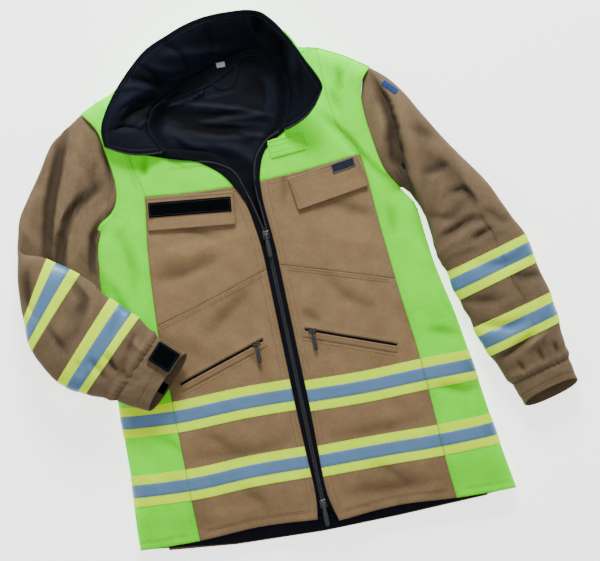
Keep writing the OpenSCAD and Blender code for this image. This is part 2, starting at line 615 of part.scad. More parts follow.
back_panel();
back_yoke();
side_panel_right();
side_panel_left();
front_right_upper();
front_right_lower();
front_left_upper();
front_left_lower();
front_right_yoke();
front_left_yoke();
back_lining();
front_right_lining();
front_left_lining();
storm_flap();
collar_shell();
collar_lining();
sleeve_right_top();
sleeve_right_under();
forearm_right_top();
forearm_right_under();
sleeve_left_top();
sleeve_left_under();
sleeve_right_lining();
sleeve_left_lining();
cuff_right();
cuff_left();
cuff_tab_right();
cuff_tab_patch_right();
cuff_tab_left();
trim_front_right();
trim_front_left();
trim_side_right();
trim_side_left();
trim_back();
trim_sleeve_right();
trim_sleeve_left();
zip_tape_right();
zip_tape_left();
zip_teeth_right();
zip_teeth_left();
slider_upper();
pull_upper();
slider_lower();
pull_lower();
pocket_zip_right();
pocket_slider_right();
pocket_pull_right();
pocket_zip_left();
pocket_slider_left();
pocket_pull_left();
hand_pocket_bags();
chest_pocket_bags();
chest_flap_right();
flap_loop_strip();
chest_flap_left();
blank_patch();
mic_tab();
hanging_loop();
size_label();
shoulder_patch();
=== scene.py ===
"""Turnout coat laid on its back: cloth, trim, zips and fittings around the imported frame.

Lengths below are millimetres in the frame's axes: the zip runs along Y at X = 0, the collar is
towards +Y, the wearer's right is -X and the back rests on Z = 0.
"""

import json
import math

import bmesh
import bpy
import numpy as np
from mathutils import Matrix, Vector
from mathutils.geometry import delaunay_2d_cdt

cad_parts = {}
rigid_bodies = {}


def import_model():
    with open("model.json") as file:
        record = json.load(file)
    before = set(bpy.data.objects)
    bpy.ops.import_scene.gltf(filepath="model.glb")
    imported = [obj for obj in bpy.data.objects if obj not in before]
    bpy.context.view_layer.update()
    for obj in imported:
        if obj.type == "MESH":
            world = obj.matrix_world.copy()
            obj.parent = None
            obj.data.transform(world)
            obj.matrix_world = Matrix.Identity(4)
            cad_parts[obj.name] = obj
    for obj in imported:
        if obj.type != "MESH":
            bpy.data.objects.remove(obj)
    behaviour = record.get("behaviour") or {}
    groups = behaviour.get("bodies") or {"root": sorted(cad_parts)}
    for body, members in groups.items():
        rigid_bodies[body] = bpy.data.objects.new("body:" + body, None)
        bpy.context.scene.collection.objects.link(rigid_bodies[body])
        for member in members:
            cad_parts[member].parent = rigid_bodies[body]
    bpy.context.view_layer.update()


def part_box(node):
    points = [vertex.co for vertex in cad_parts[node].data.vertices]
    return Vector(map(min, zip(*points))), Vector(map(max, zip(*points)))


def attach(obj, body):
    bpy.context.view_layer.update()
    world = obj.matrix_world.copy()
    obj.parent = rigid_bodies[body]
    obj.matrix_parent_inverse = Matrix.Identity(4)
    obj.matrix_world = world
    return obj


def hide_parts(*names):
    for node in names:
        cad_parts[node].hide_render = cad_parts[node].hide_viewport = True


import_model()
MM = 0.001
TO_UV = 0.01  # pattern coordinates are in units of 100 mm
TRIM_WIDTH = 50  # the reflective bands

# ---- curves -------------------------------------------------------------------------------


def curve(points, n=6):
    """A smooth line through the points, n steps between neighbours."""
    p = np.array(points, float)
    q = np.vstack([p[0], p, p[-1]])
    t = (np.arange(n) / n)[:, None]
    out = [
        0.5 * (2 * b + (c - a) * t + (2 * a - 5 * b + 4 * c - d) * t**2 + (3 * b - a - 3 * c + d) * t**3)
        for a, b, c, d in (q[i : i + 4] for i in range(len(p) - 1))
    ]
    return np.vstack(out + [p[-1:]])


def at(edge, v):
    """An edge is a list of [along, across]; this is the across at each along."""
    return np.interp(v, edge[:, 0], edge[:, 1])


def corner(up, across):
    """Where an edge that runs up the coat meets one that runs across it."""
    y = at(across, 0.0)
    for _ in range(4):
        x = at(up, y)
        y = at(across, x)
    return [float(at(up, y)), float(y)]


def rise(up, a, b):
    """The points of an edge that runs up the coat, between two heights."""
    return [[p[1], p[0]] for p in up if a + 1 < p[0] < b - 1]


def run(across, a, b):
    """The points of an edge that runs across the coat, between two places."""
    return [list(p) for p in across if a + 1 < p[0] < b - 1]


def panel(left, right, bottom, top):
    """The outline between four edges."""
    bl, br, tl, tr = corner(left, bottom), corner(right, bottom), corner(left, top), corner(right, top)
    return (
        [bl] + run(bottom, bl[0], br[0]) + [br] + rise(right, br[1], tr[1]) + [tr]
        + run(top, tl[0], tr[0])[::-1] + [tl] + rise(left, bl[1], tl[1])[::-1]
    )


def shifted(edge, d):
    return edge + np.array([0, d])


def resample(points, step, closed=False):
    """The polyline with its corners kept and no step longer than step."""
    p = np.array(points, float)
    if closed:
        p = np.vstack([p, p[:1]])
    out = []
    for a, b in zip(p[:-1], p[1:]):
        n = max(1, int(math.ceil(np.linalg.norm(b - a) / step)))
        out += [a + (b - a) * k / n for k in range(n)]
    if not closed:
        out.append(p[-1])
    return np.array(out)


def even(points, step):
    """Points at equal steps along a polyline."""
    p = np.array(points, float)
    s = np.concatenate([[0], np.cumsum(np.linalg.norm(np.diff(p, axis=0), axis=1))])
    n = max(2, int(round(s[-1] / step)) + 1)
    u = np.linspace(0, s[-1], n)
    return np.stack([np.interp(u, s, p[:, k]) for k in range(p.shape[1])], 1)


def offset(points, d):
    """A polyline moved to its left by d, in plan."""
    p = np.array(points, float)
    g = np.gradient(p[:, :2], axis=0)
    g /= np.maximum(np.linalg.norm(g, axis=1, keepdims=True), 1e-9)
    q = p.copy()
    q[:, 0] -= g[:, 1] * d
    q[:, 1] += g[:, 0] * d
    return q


def looped(points):
    """A closed line: the points with the first one again at the end."""
    return np.vstack([points, points[:1]])


def signed_area(q):
    """Positive where the outline runs anticlockwise."""
    return 0.5 * np.sum(q[:, 0] * np.roll(q[:, 1], -1) - q[:, 1] * np.roll(q[:, 0], -1))


# Edges that run up the coat, as [y, x], from the hem upwards.
SIDE_R = curve([[-358, -303], [-306, -300], [-250, -294], [-150, -290], [-60, -287], [60, -281], [110, -277],
                [153, -266]])
SIDE_L = curve([[-382, 309], [-320, 300], [-260, 292], [-180, 283], [-90, 271], [-10, 256], [45, 250], [93, 245],
                [123, 228]])
SEAM_R = curve([[-362, -206], [-245, -205], [-131, -203], [-41, -203], [16, -200], [113, -191], [196, -178],
                [232, -184], [272, -188], [330, -188], [374, -186]])
SEAM_L = curve([[-380, 212], [-316, 207], [-217, 204], [-126, 199], [-34, 190], [90, 181], [192, 174],
                [238, 150], [293, 142], [374, 141]])
EDGE_R = curve([[-366, -14], [-320, -9], [-200, -11], [0, -11], [60, -11], [90, -12.5], [115, -15.5],
                [146, -20], [174, -27], [200, -34], [222, -44], [240, -72], [247, -98]])
EDGE_L = curve([[-375, 20], [-320, 9], [-200, 11], [0, 11], [60, 11], [96, 9.5], [140, 7], [166, 7],
                [195, 10], [223, 20], [242, 44], [252, 62]])
# Edges that run across the coat, as [x, y].
HEM_R = curve([[-310, -357], [-206, -361], [-108, -359], [-14, -366], [0, -367]])
HEM_L = curve([[0, -374], [20, -375], [119, -371], [212, -379], [312, -383]])
YOKE_R = curve([[-230, 201], [-178, 196], [-106, 188], [-20, 182]])
YOKE_L = curve([[0, 183], [73, 185], [174, 192], [230, 196]])
WAIST_R = curve([[-210, -13], [-110, 13], [-9, 43], [0, 46]])
WAIST_L = curve([[0, 49], [87, 20], [190, -16], [200, -19]])
BAND_UR = curve([[-310, -124], [-204, -134], [-93, -134], [0, -138]])
BAND_UL = curve([[0, -144], [100, -149], [199, -149], [300, -151]])
BAND_LR = curve([[-320, -235], [-198, -245], [-99, -244], [0, -248]])
BAND_LL = curve([[0, -251], [111, -254], [208, -258], [310, -258]])
ARMHOLE_R = curve([[-266, 153], [-258, 167], [-235, 182], [-223, 201], [-219, 233], [-225, 283], [-231, 317],
                   [-251, 349]])
ARMHOLE_L = curve([[228, 123], [207, 159], [196, 226], [194, 276], [202, 307], [218, 326]])
SHOULDER_R = np.array([[-251, 349], [-225, 361], [-186, 374]], float)
SHOULDER_L = np.array([[218, 326], [182, 352], [141, 374]], float)
NECK_R = [[-104, 250], [-140, 262], [-158, 300], [-168, 335], [-172, 368], [-185.5, 373]]
NECK_L = [[140.5, 373.5], [126, 378], [114, 366], [104, 330], [90, 290], [68, 256]]

# ---- noise and folds ----------------------------------------------------------------------


def noise(x, y, sx, sy=None, seed=0):
    """Smooth noise of about -1 to 1 with features sx by sy wide."""
    x, y = np.asarray(x, float) / sx + 31.7 * seed, np.asarray(y, float) / (sy or sx) - 17.3 * seed
    ix, iy = np.floor(x).astype(np.int64), np.floor(y).astype(np.int64)
    fx, fy = x - ix, y - iy

    def corner_value(a, b):
        h = (a * 374761393 + b * 668265263 + seed * 974634777) & 0xFFFFFFFF
        h = ((h ^ (h >> 13)) * 1274126177) & 0xFFFFFFFF
        t = ((h ^ (h >> 16)) & 4095) / 4095 * 2 * math.pi
        return np.cos(t) * (x - a) + np.sin(t) * (y - b)

    u, v = (f**3 * (f * (f * 6 - 15) + 10) for f in (fx, fy))
    low = corner_value(ix, iy) * (1 - u) + corner_value(ix + 1, iy) * u
    high = corner_value(ix, iy + 1) * (1 - u) + corner_value(ix + 1, iy + 1) * u
    return 1.5 * (low * (1 - v) + high * v)


def distance(X, Y, line):
    """Distance to a polyline, the side it is on (+1 left), and how far along it, 0 to 1."""
    p = np.array(line, float)[:, :2]
    length = np.concatenate([[0], np.cumsum(np.linalg.norm(np.diff(p, axis=0), axis=1))])
    best, side, along = np.full(X.shape, 1e9), np.zeros(X.shape), np.zeros(X.shape)
    for k in range(len(p) - 1):
        a, d = p[k], p[k + 1] - p[k]
        n = d @ d
        if n < 1e-9:
            continue
        t = np.clip(((X - a[0]) * d[0] + (Y - a[1]) * d[1]) / n, 0, 1)
        ex, ey = X - a[0] - t * d[0], Y - a[1] - t * d[1]
        far = ex * ex + ey * ey
        m = far < best
        best = np.where(m, far, best)
        side = np.where(m, np.sign(d[0] * ey - d[1] * ex), side)
        along = np.where(m, length[k] + t * math.sqrt(n), along)
    return np.sqrt(best), side, along / length[-1]


def folds(X, Y, table):
    """The sum of ridges and valleys. Each is (height, half width, sharpness -1..1, points); a negative
    width gives steep walls."""
    out = np.zeros(X.shape)
    for h, w, sharp, pts in table:
        line = curve(pts, 5)
        lo, hi = line.min(0) - 3.4 * abs(w), line.max(0) + 3.4 * abs(w)
        m = (X > lo[0]) & (X < hi[0]) & (Y > lo[1]) & (Y < hi[1])
        if not m.any():
            continue
        x, y = X[m], Y[m]
        x, y = x + 1.6 * noise(x, y, 21, seed=11), y + 1.6 * noise(x, y, 24, seed=12)
        d, side, u = distance(x, y, line)
        width = abs(w) * (1 - sharp * side)
        ends = np.sin(np.pi * np.clip(u * 0.94 + 0.03, 0, 1)) ** 0.6
        r = d / np.maximum(width, 0.8)
        out[m] += h * ends * np.exp(-(r ** (1.7 if w > 0 else 3.2)))
    return out


def smooth(t):
    t = np.clip(t, 0, 1)
    return t * t * (3 - 2 * t)


FRONT_FOLDS = [
    (1.5, 15, 0.35, [[-184, 103], [-106, 98], [-25, 104]]),
    (-3.0, 12, -0.3, [[-190, 60], [-144, 62], [-84, 74]]),
    (-2.6, 11, 0.2, [[-42, 14], [-90, -18], [-126, -44]]),
    (-2.4, 11, 0, [[108, 126], [179, 88]]),
    (-2.2, 9, 0, [[30, -36], [56, -60]]),
    (1.2, 20, 0, [[100, 73], [186, 48]]),
    (-3.4, 8, 0.55, [[130, 268], [161, 223], [176, 195], [195, 164], [216, 136], [229, 117]]),
    (1.4, 12, -0.3, [[124, 248], [148, 214], [170, 178], [190, 150]]),
    (-2.4, 8, 0, [[202, 96], [203, 52]]),
    (1.2, 8, 0, [[235, 40], [245, 0]]),
    (-2.4, 8, 0.2, [[220, -105], [270, -122]]),
    (-2.6, 8, 0, [[216, -196], [262, -214], [282, -206]]),
    (-3.2, 6, 0.2, [[-161, 262], [-173, 228]]),
    (-2.4, 7, 0, [[-140, 252], [-104, 228]]),
    (-2.4, 8, 0, [[-84, 242], [-48, 213]]),
    (-3.0, 5, 0.3, [[171, 334], [165, 296]]),
    (1.0, 5, 0, [[185, 333], [175, 299]]),
    (-2.2, 6, 0, [[107, 366], [124, 326]]),
    (-2.2, 5, 0, [[150, 300], [158, 262]]),
    (-2.0, 12, 0, [[-192, -231], [-86, -240], [-20, -229]]),
    (-1.8, 12, 0, [[44, -243], [114, -247], [185, -246]]),
    (1.0, 14, 0, [[-180, -325], [-86, -336]]),
    (-1.8, 12, 0, [[38, -338], [187, -347]]),
    (-2.0, 9, 0.3, [[-240, -180], [-214, -204], [-206, -226]]),
    (-2.6, 8, 0.3, [[-262, 70], [-246, 20], [-250, -40]]),
    (-2.4, 9, -0.2, [[-232, 150], [-222, 96], [-226, 40]]),
    (-1.6, 9, 0, [[-146, 166], [-100, 120], [-64, 96]]),
    (-1.8, 10, 0, [[70, 24], [108, -30], [150, -56]]),
    (-1.6, 8, 0, [[-70, -84], [-52, -112], [-56, -128]]),
    (-1.5, 9, 0, [[-170, -196], [-140, -214], [-118, -236]]),
    (-1.6, 8, 0, [[96, -300], [124, -322], [140, -350]]),
    (-1.8, 8, 0, [[-120, -300], [-96, -322], [-90, -350]]),
    (-2.2, 5, 0.3, [[50, 182], [39, 137]]),
]

ROLL_Z = 14.0  # height of the rolled side and shoulder edges
ROLL_FRONT, ROLL_BACK = 27.0, 24.0  # how far in from the edge the front and the back begin to roll
FRONT_Z, FRONT_HIGHEST = 30.4, 32.0  # the front where it lies flat, and the top of its highest fold


def roll_distance(X, Y):
    """Distance to the rolled edges of the body, at both sides and both shoulders."""
    d = np.full(X.shape, 1e9)
    for up in (SIDE_R, SIDE_L):
        d = np.minimum(d, distance(X, Y, up[::2, ::-1])[0])
    for line in (SHOULDER_R, SHOULDER_L):
        d = np.minimum(d, distance(X, Y, line)[0])
    return d


def front(X, Y):
    """Top of the coat's front, and how much of it is fold."""
    X, Y = np.asarray(X, float), np.asarray(Y, float)
    f = 1.6 * folds(X, Y, FRONT_FOLDS)
    f = f + 0.8 * noise(X, Y, 92, 70, 1) + 0.75 * noise(X + 0.5 * Y, Y - 0.4 * X, 30, 48, 2)
    f = f + 0.17 * noise(X, Y, 13, 17, 3)
    # pull lines where the trim is stitched down
    for tops in (BAND_UR, BAND_LR, BAND_UL, BAND_LL):
        own = (X < 0) == (tops[0, 0] < -1)
        y0 = at(tops, X)
        for y, s in ((y0, 1), (y0 - TRIM_WIDTH, -1)):
            d = (Y - y) * s
            near = np.where(d > 0, np.exp(-np.abs(d) / 9), np.exp(-np.abs(d) / 5)) * own
            f = f + 0.5 * near * noise(X, 0 * Y + s, 15, seed=4)
    calm = smooth((np.abs(X) - 14) / 26)
    f = np.where(Y < 215, f * (0.12 + 0.88 * calm), f)
    z = FRONT_Z + f
    # the hem drops a little away from the zip
    hem = np.where(X < 0, at(HEM_R, X), at(HEM_L, X))
    z = z - 7.5 * smooth((70 - (Y - hem)) / 70) * smooth((np.abs(X) - 22) / 60)
    z = z + 1.6 * noise(X, Y * 0.25, 46, seed=5) * smooth((46 - (Y - hem)) / 46) * smooth((np.abs(X) - 26) / 40)
    # puffed up along the zip
    z = z + 0.9 * np.exp(-(((np.abs(X) - 17) / 7) ** 2)) * (Y < 200)
    z = np.minimum(z, FRONT_HIGHEST)
    r = roll_distance(X, Y)
    s = np.clip(r / ROLL_FRONT, 0, 1)
    z = ROLL_Z + (z - ROLL_Z) * np.sqrt(np.maximum(0, 1 - (1 - s) ** 2))
    return z, f


def top(X, Y):
    return front(X, Y)[0]


def back(X, Y):
    """Top of the back sheet, which lies on the floor and rolls up at the sides."""
    z = 2.9 + 0.5 * (1 + noise(X, Y, 70, 50, 8))
    s = np.clip(roll_distance(X, Y) / ROLL_BACK, 0, 1)
    return z + (ROLL_Z + 1 - z) * (1 - np.sqrt(np.maximum(0, 1 - (1 - s) ** 2)))


# ---- meshes -------------------------------------------------------------------------------


def inside(P, poly):
    poly = np.array(poly, float)
    x, y = P[:, 0], P[:, 1]
    hit = np.zeros(len(P), bool)
    for (ax, ay), (bx, by) in zip(poly, np.roll(poly, -1, 0)):
        if ay == by:
            continue
        hit ^= ((ay > y) != (by > y)) & (x < (bx - ax) * (y - ay) / (by - ay) + ax)
    return hit


def fill(poly, step=4.6, rows=(1.3, 3.2, 6.6), holes=(), lines=()):
    """Plan points and triangles of a polygon: rows along its edges, then an even field."""
    loops = [resample(poly, step, True)] + [resample(h, step, True) for h in holes]
    pts, edges = [], []
    for loop in loops:
        n0 = len(pts)
        pts += [tuple(p) for p in loop]
        edges += [(n0 + k, n0 + (k + 1) % len(loop)) for k in range(len(loop))]
    rim = [looped(loop) for loop in loops]

    def edge_distance(q):
        return np.min([distance(q[:, 0], q[:, 1], r)[0] for r in rim], 0)

    def on_cloth(q):
        hit = inside(q, loops[0])
        for hole in loops[1:]:
            hit &= ~inside(q, hole)
        return hit

    # which side of each loop the cloth is on: inside the outline, outside the holes
    ways = [(1 if signed_area(loop) > 0 else -1) * (-1 if k else 1) for k, loop in enumerate(loops)]
    for d in rows:
        for loop, way in zip(loops, ways):
            q = offset(np.vstack([loop[-1:], loop, loop[:1]]), d * way)[1:-1]
            q = q[on_cloth(q)]
            q = q[edge_distance(q) > 0.86 * d]
            pts += [tuple(p) for p in q]
    for line in lines:
        q = resample(line, step)
        q = q[inside(q, loops[0])]
        q = q[edge_distance(q) > rows[-1]] if len(q) else q
        pts += [tuple(p) for p in q]
    lo, hi = loops[0].min(0), loops[0].max(0)
    gx, gy = np.meshgrid(np.arange(lo[0], hi[0], step), np.arange(lo[1], hi[1], step * 0.866))
    gx = gx + (np.arange(gx.shape[0]) % 2)[:, None] * step / 2
    g = np.stack([gx.ravel(), gy.ravel()], 1)
    g = g[on_cloth(g)]
    g = g[edge_distance(g) > rows[-1] + 0.55 * step] if len(g) else g
    pts += [tuple(p) for p in g]
    out = delaunay_2d_cdt([Vector(p) for p in pts], edges, [], 0, 1e-4)
    v = np.array([tuple(p) for p in out[0]])
    t = np.array(out[2], int)
    t = t[on_cloth(v[t].mean(1))]
    used = np.unique(t)
    back_to = np.full(len(v), -1)
    back_to[used] = np.arange(len(used))
    return v[used], back_to[t], edge_distance(v[used])


def normals(V, F):
    n = np.zeros_like(V)
    if F.shape[1] == 4:
        k = np.cross(V[F[:, 2]] - V[F[:, 0]], V[F[:, 3]] - V[F[:, 1]])
    else:
        k = np.cross(V[F[:, 1]] - V[F[:, 0]], V[F[:, 2]] - V[F[:, 0]])
    for j in range(F.shape[1]):
        np.add.at(n, F[:, j], k)
    return n / np.maximum(np.linalg.norm(n, axis=1, keepdims=True), 1e-12)


def shell(V, F, t, bulge=0.4):
    """A closed sheet of thickness t below the surface V, F, with a rounded rim. t may vary."""
    V, F = np.asarray(V, float), np.asarray(F, int)
    N = normals(V, F)
    t = np.broadcast_to(np.asarray(t, float), (len(V),))[:, None]
    B = V - t * N
    k = F.shape[1]
    e = np.vstack([F[:, [j, (j + 1) % k]] for j in range(k)])
    key = np.sort(e, 1)
    _, first, count = np.unique(key[:, 0] * (len(V) + 1) + key[:, 1], return_index=True, return_counts=True)
    be = e[first[count == 1]]
    rim = np.unique(be)
    where = np.full(len(V), -1)
    where[rim] = np.arange(len(rim))
    out = np.zeros_like(V)
    d = V[be[:, 1]] - V[be[:, 0]]
    d /= np.maximum(np.linalg.norm(d, axis=1, keepdims=True), 1e-9)
    for j in (0, 1):
        np.add.at(out, be[:, j], np.cross(d, N[be[:, j]]))
    out /= np.maximum(np.linalg.norm(out, axis=1, keepdims=True), 1e-9)
    M = ((V + B) / 2 + out * bulge * t)[rim]
    n = len(V)
    m0, m1 = 2 * n + where[be[:, 0]], 2 * n + where[be[:, 1]]
    quads = np.vstack([
        np.stack([be[:, 1], be[:, 0], m0, m1], 1),
        np.stack([m1, m0, be[:, 0] + n, be[:, 1] + n], 1),
    ])
    source = np.concatenate([np.arange(n), np.arange(n), rim])
    return np.vstack([V, B, M]), [F, F[:, ::-1] + n, quads], source


def grid_faces(m, n, closed=False):
    i, j = np.meshgrid(np.arange(m - 1), np.arange(n if closed else n - 1), indexing="ij")
    i, j = i.ravel(), j.ravel()
    k = (j + 1) % n
    return np.stack([i * n + j, (i + 1) * n + j, (i + 1) * n + k, i * n + k], 1)


SHARP = math.radians(52)  # faces that meet at more than this show an edge


class Piece:
    """Collects vertices and faces of one piece, in millimetres."""

    def __init__(self):
        self.v, self.f, self.uv, self.tone, self.n = [], [], [], [], 0

    def add(self, V, F, mat=0, uv=None, tone=None):
        V = np.asarray(V, float).reshape(-1, 3)
        for block in F if isinstance(F, list) else [F]:
            if len(block):
                self.f.append((np.asarray(block, int) + self.n, mat))
        self.v.append(V)
        self.uv.append(V[:, :2] if uv is None else np.asarray(uv, float))
        self.tone.append(np.ones(len(V)) if tone is None else np.broadcast_to(tone, (len(V),)))
        self.n += len(V)
        return self

    def sheet(self, V, F, t, mat=0, uv=None, tone=None, bulge=0.4):
        S, blocks, source = shell(V, F, t, bulge)
        uv = np.asarray(V)[:, :2] if uv is None else np.asarray(uv)
        tone = np.ones(len(V)) if tone is None else np.broadcast_to(tone, (len(V),))
        return self.add(S, blocks, mat, uv[source], tone[source])

    def grid(self, P, t, mat=0, closed=False, flip=False, uv=None, tone=None, bulge=0.4):
        m, n = P.shape[:2]
        F = grid_faces(m, n, closed)
        if flip:
            F = F[:, ::-1]
        if uv is None:
            a = np.concatenate([np.zeros((1, n)), np.cumsum(np.linalg.norm(np.diff(P, axis=0), axis=2), 0)])
            b = np.concatenate([np.zeros((m, 1)), np.cumsum(np.linalg.norm(np.diff(P, axis=1), axis=2), 1)], 1)
            uv = np.stack([b.mean(0)[None, :] + 0 * a, a.mean(1)[:, None] + 0 * b], 2)
        return self.sheet(P.reshape(-1, 3), F, t, mat, uv.reshape(-1, 2), None if tone is None else np.ravel(tone),
                          bulge)

    def build(self, name, body, mats, slot=None, replaces=(), matrix=None):
        V = np.vstack(self.v)
        if matrix is not None:
            V = V @ np.array(matrix, float)[:3, :3].T + np.array(matrix, float)[:3, 3]
        mesh = bpy.data.meshes.new(name)
        faces, mat = [], []
        for block, k in self.f:
            faces += block.tolist()
            mat += [k] * len(block)
        mesh.from_pydata((V * MM).tolist(), [], faces)
        mesh.polygons.foreach_set("material_index", mat)
        mesh.polygons.foreach_set("use_smooth", [True] * len(faces))
        for m in mats:
            mesh.materials.append(m)
        loops = np.zeros(len(mesh.loops), np.int32)
        mesh.loops.foreach_get("vertex_index", loops)
        uv = np.vstack(self.uv)[loops]
        mesh.uv_layers.new(name="cloth").data.foreach_set("uv", (uv * TO_UV).astype(np.float32).ravel())
        # one factor per point of painted shade and painted highlights, multiplied into the base colour
        tone = mesh.attributes.new("tone", "FLOAT", "POINT")
        tone.data.foreach_set("value", np.concatenate(self.tone).astype(np.float32))
        bm = bmesh.new()
        bm.from_mesh(mesh)
        bmesh.ops.recalc_face_normals(bm, faces=bm.faces)
        bm.to_mesh(mesh)
        bm.free()
        mesh.set_sharp_from_angle(angle=SHARP)
        obj = bpy.data.objects.new(name, mesh)
        bpy.context.scene.collection.objects.link(obj)
        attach(obj, body)
        if replaces:
            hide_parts(*replaces)
        return obj


def block(cx, cy, cz, sx, sy, sz, r=0.4, seg=2):
    """A box with rounded edges."""
    bm = bmesh.new()
    bmesh.ops.create_cube(bm, size=1.0)
    for v in bm.verts:
        v.co = Vector((v.co.x * sx, v.co.y * sy, v.co.z * sz))
    bmesh.ops.bevel(bm, geom=list(bm.edges), offset=r, segments=seg, profile=0.6, affect="EDGES")
    bmesh.ops.triangulate(bm, faces=bm.faces)
    V = np.array([tuple(v.co) for v in bm.verts]) + [cx, cy, cz]
    F = np.array([[v.index for v in f.verts] for f in bm.faces], int)
    bm.free()
    return V, F


def rod(points, r, n=12, close=False):
    """A tube along 3-D points, with capped ends."""
    p = np.array(points, float)
    g = np.roll(p, -1, 0) - np.roll(p, 1, 0) if close else np.gradient(p, axis=0)
    g /= np.maximum(np.linalg.norm(g, axis=1, keepdims=True), 1e-9)
    u = np.array([0, 0, 1.0]) - g * g[:, 2:3]
    u /= np.maximum(np.linalg.norm(u, axis=1, keepdims=True), 1e-9)
    w = np.cross(g, u)
    t = np.arange(n) / n * 2 * math.pi
    r = np.broadcast_to(r, (len(p),))
    ring = p[:, None] + r[:, None, None] * (
        np.cos(t)[None, :, None] * w[:, None] + np.sin(t)[None, :, None] * u[:, None])
    V = ring.reshape(-1, 3)
    m = len(p)
    if close:
        i, j = (a.ravel() for a in np.meshgrid(np.arange(m), np.arange(n), indexing="ij"))
        F = np.stack([i * n + j, (i + 1) % m * n + j, (i + 1) % m * n + (j + 1) % n, i * n + (j + 1) % n], 1)
        return V, [F]
    F = grid_faces(m, n, True)
    V = np.vstack([V, p[:1], p[-1:]])
    j = np.arange(n)
    caps = np.vstack([np.stack([(j + 1) % n, j, 0 * j + m * n], 1),
                      np.stack([(m - 1) * n + j, (m - 1) * n + (j + 1) % n, 0 * j + m * n + 1], 1)])
    return V, [F, caps]


PITCH, FINE = 3.4, 3.2  # from one stitch to the next
GAP = 0.22  # the share of it with no thread


class Stitches:
    """Rows of thread, one short bent capsule for each stitch."""

    def __init__(self):
        self.a, self.b, self.up = [], [], []

    def line(self, P, pitch=PITCH, up=(0, 0, 1)):
        q = even(P, pitch)
        if len(q) < 3:
            return
        a, b = q[:-1], q[1:]
        self.a.append(a + (b - a) * GAP / 2)
        self.b.append(b - (b - a) * GAP / 2)
        self.up.append(np.broadcast_to(np.asarray(up, float), a.shape) if np.ndim(up) == 1 else
                       np.stack([np.interp(np.linspace(0, 1, len(a)), np.linspace(0, 1, len(up)), up[:, k])
                                 for k in range(3)], 1))

    def over(self, line, lift=0.25, surface=top):
        q = even(np.array(line, float)[:, :2], PITCH / 2)
        self.line(np.column_stack([q, surface(q[:, 0], q[:, 1]) + lift]))

    def build(self, name, body, mat, r=0.34, slot=None):
        a, b, up = np.vstack(self.a), np.vstack(self.b), np.vstack(self.up)
        x = (b - a) / np.maximum(np.linalg.norm(b - a, axis=1, keepdims=True), 1e-9)
        up = up - x * np.sum(up * x, 1, keepdims=True)
        up /= np.maximum(np.linalg.norm(up, axis=1, keepdims=True), 1e-9)
        y = np.cross(up, x)
        n, stops = 5, [(0.0, 0.35, -0.3), (0.18, 0.95, 0.1), (0.82, 0.95, 0.1), (1.0, 0.35, -0.3)]
        t = np.arange(n) / n * 2 * math.pi
        V = np.stack([a + (b - a) * s + up * (lift * r) + r * k * (math.cos(q) * y + math.sin(q) * up)
                      for s, k, lift in stops for q in t], 1)
        F = grid_faces(4, n, True)
        caps = np.array([[0, 4, 3, 2, 1], [15, 16, 17, 18, 19]])
        k = np.arange(len(a))[:, None, None] * 20
        p = Piece()
        p.add(V.reshape(-1, 3), [(F[None] + k).reshape(-1, 4), (caps[None] + k).reshape(-1, 5)])
        return p.build(name, body, [mat], slot)


# ---- materials ----------------------------------------------------------------------------


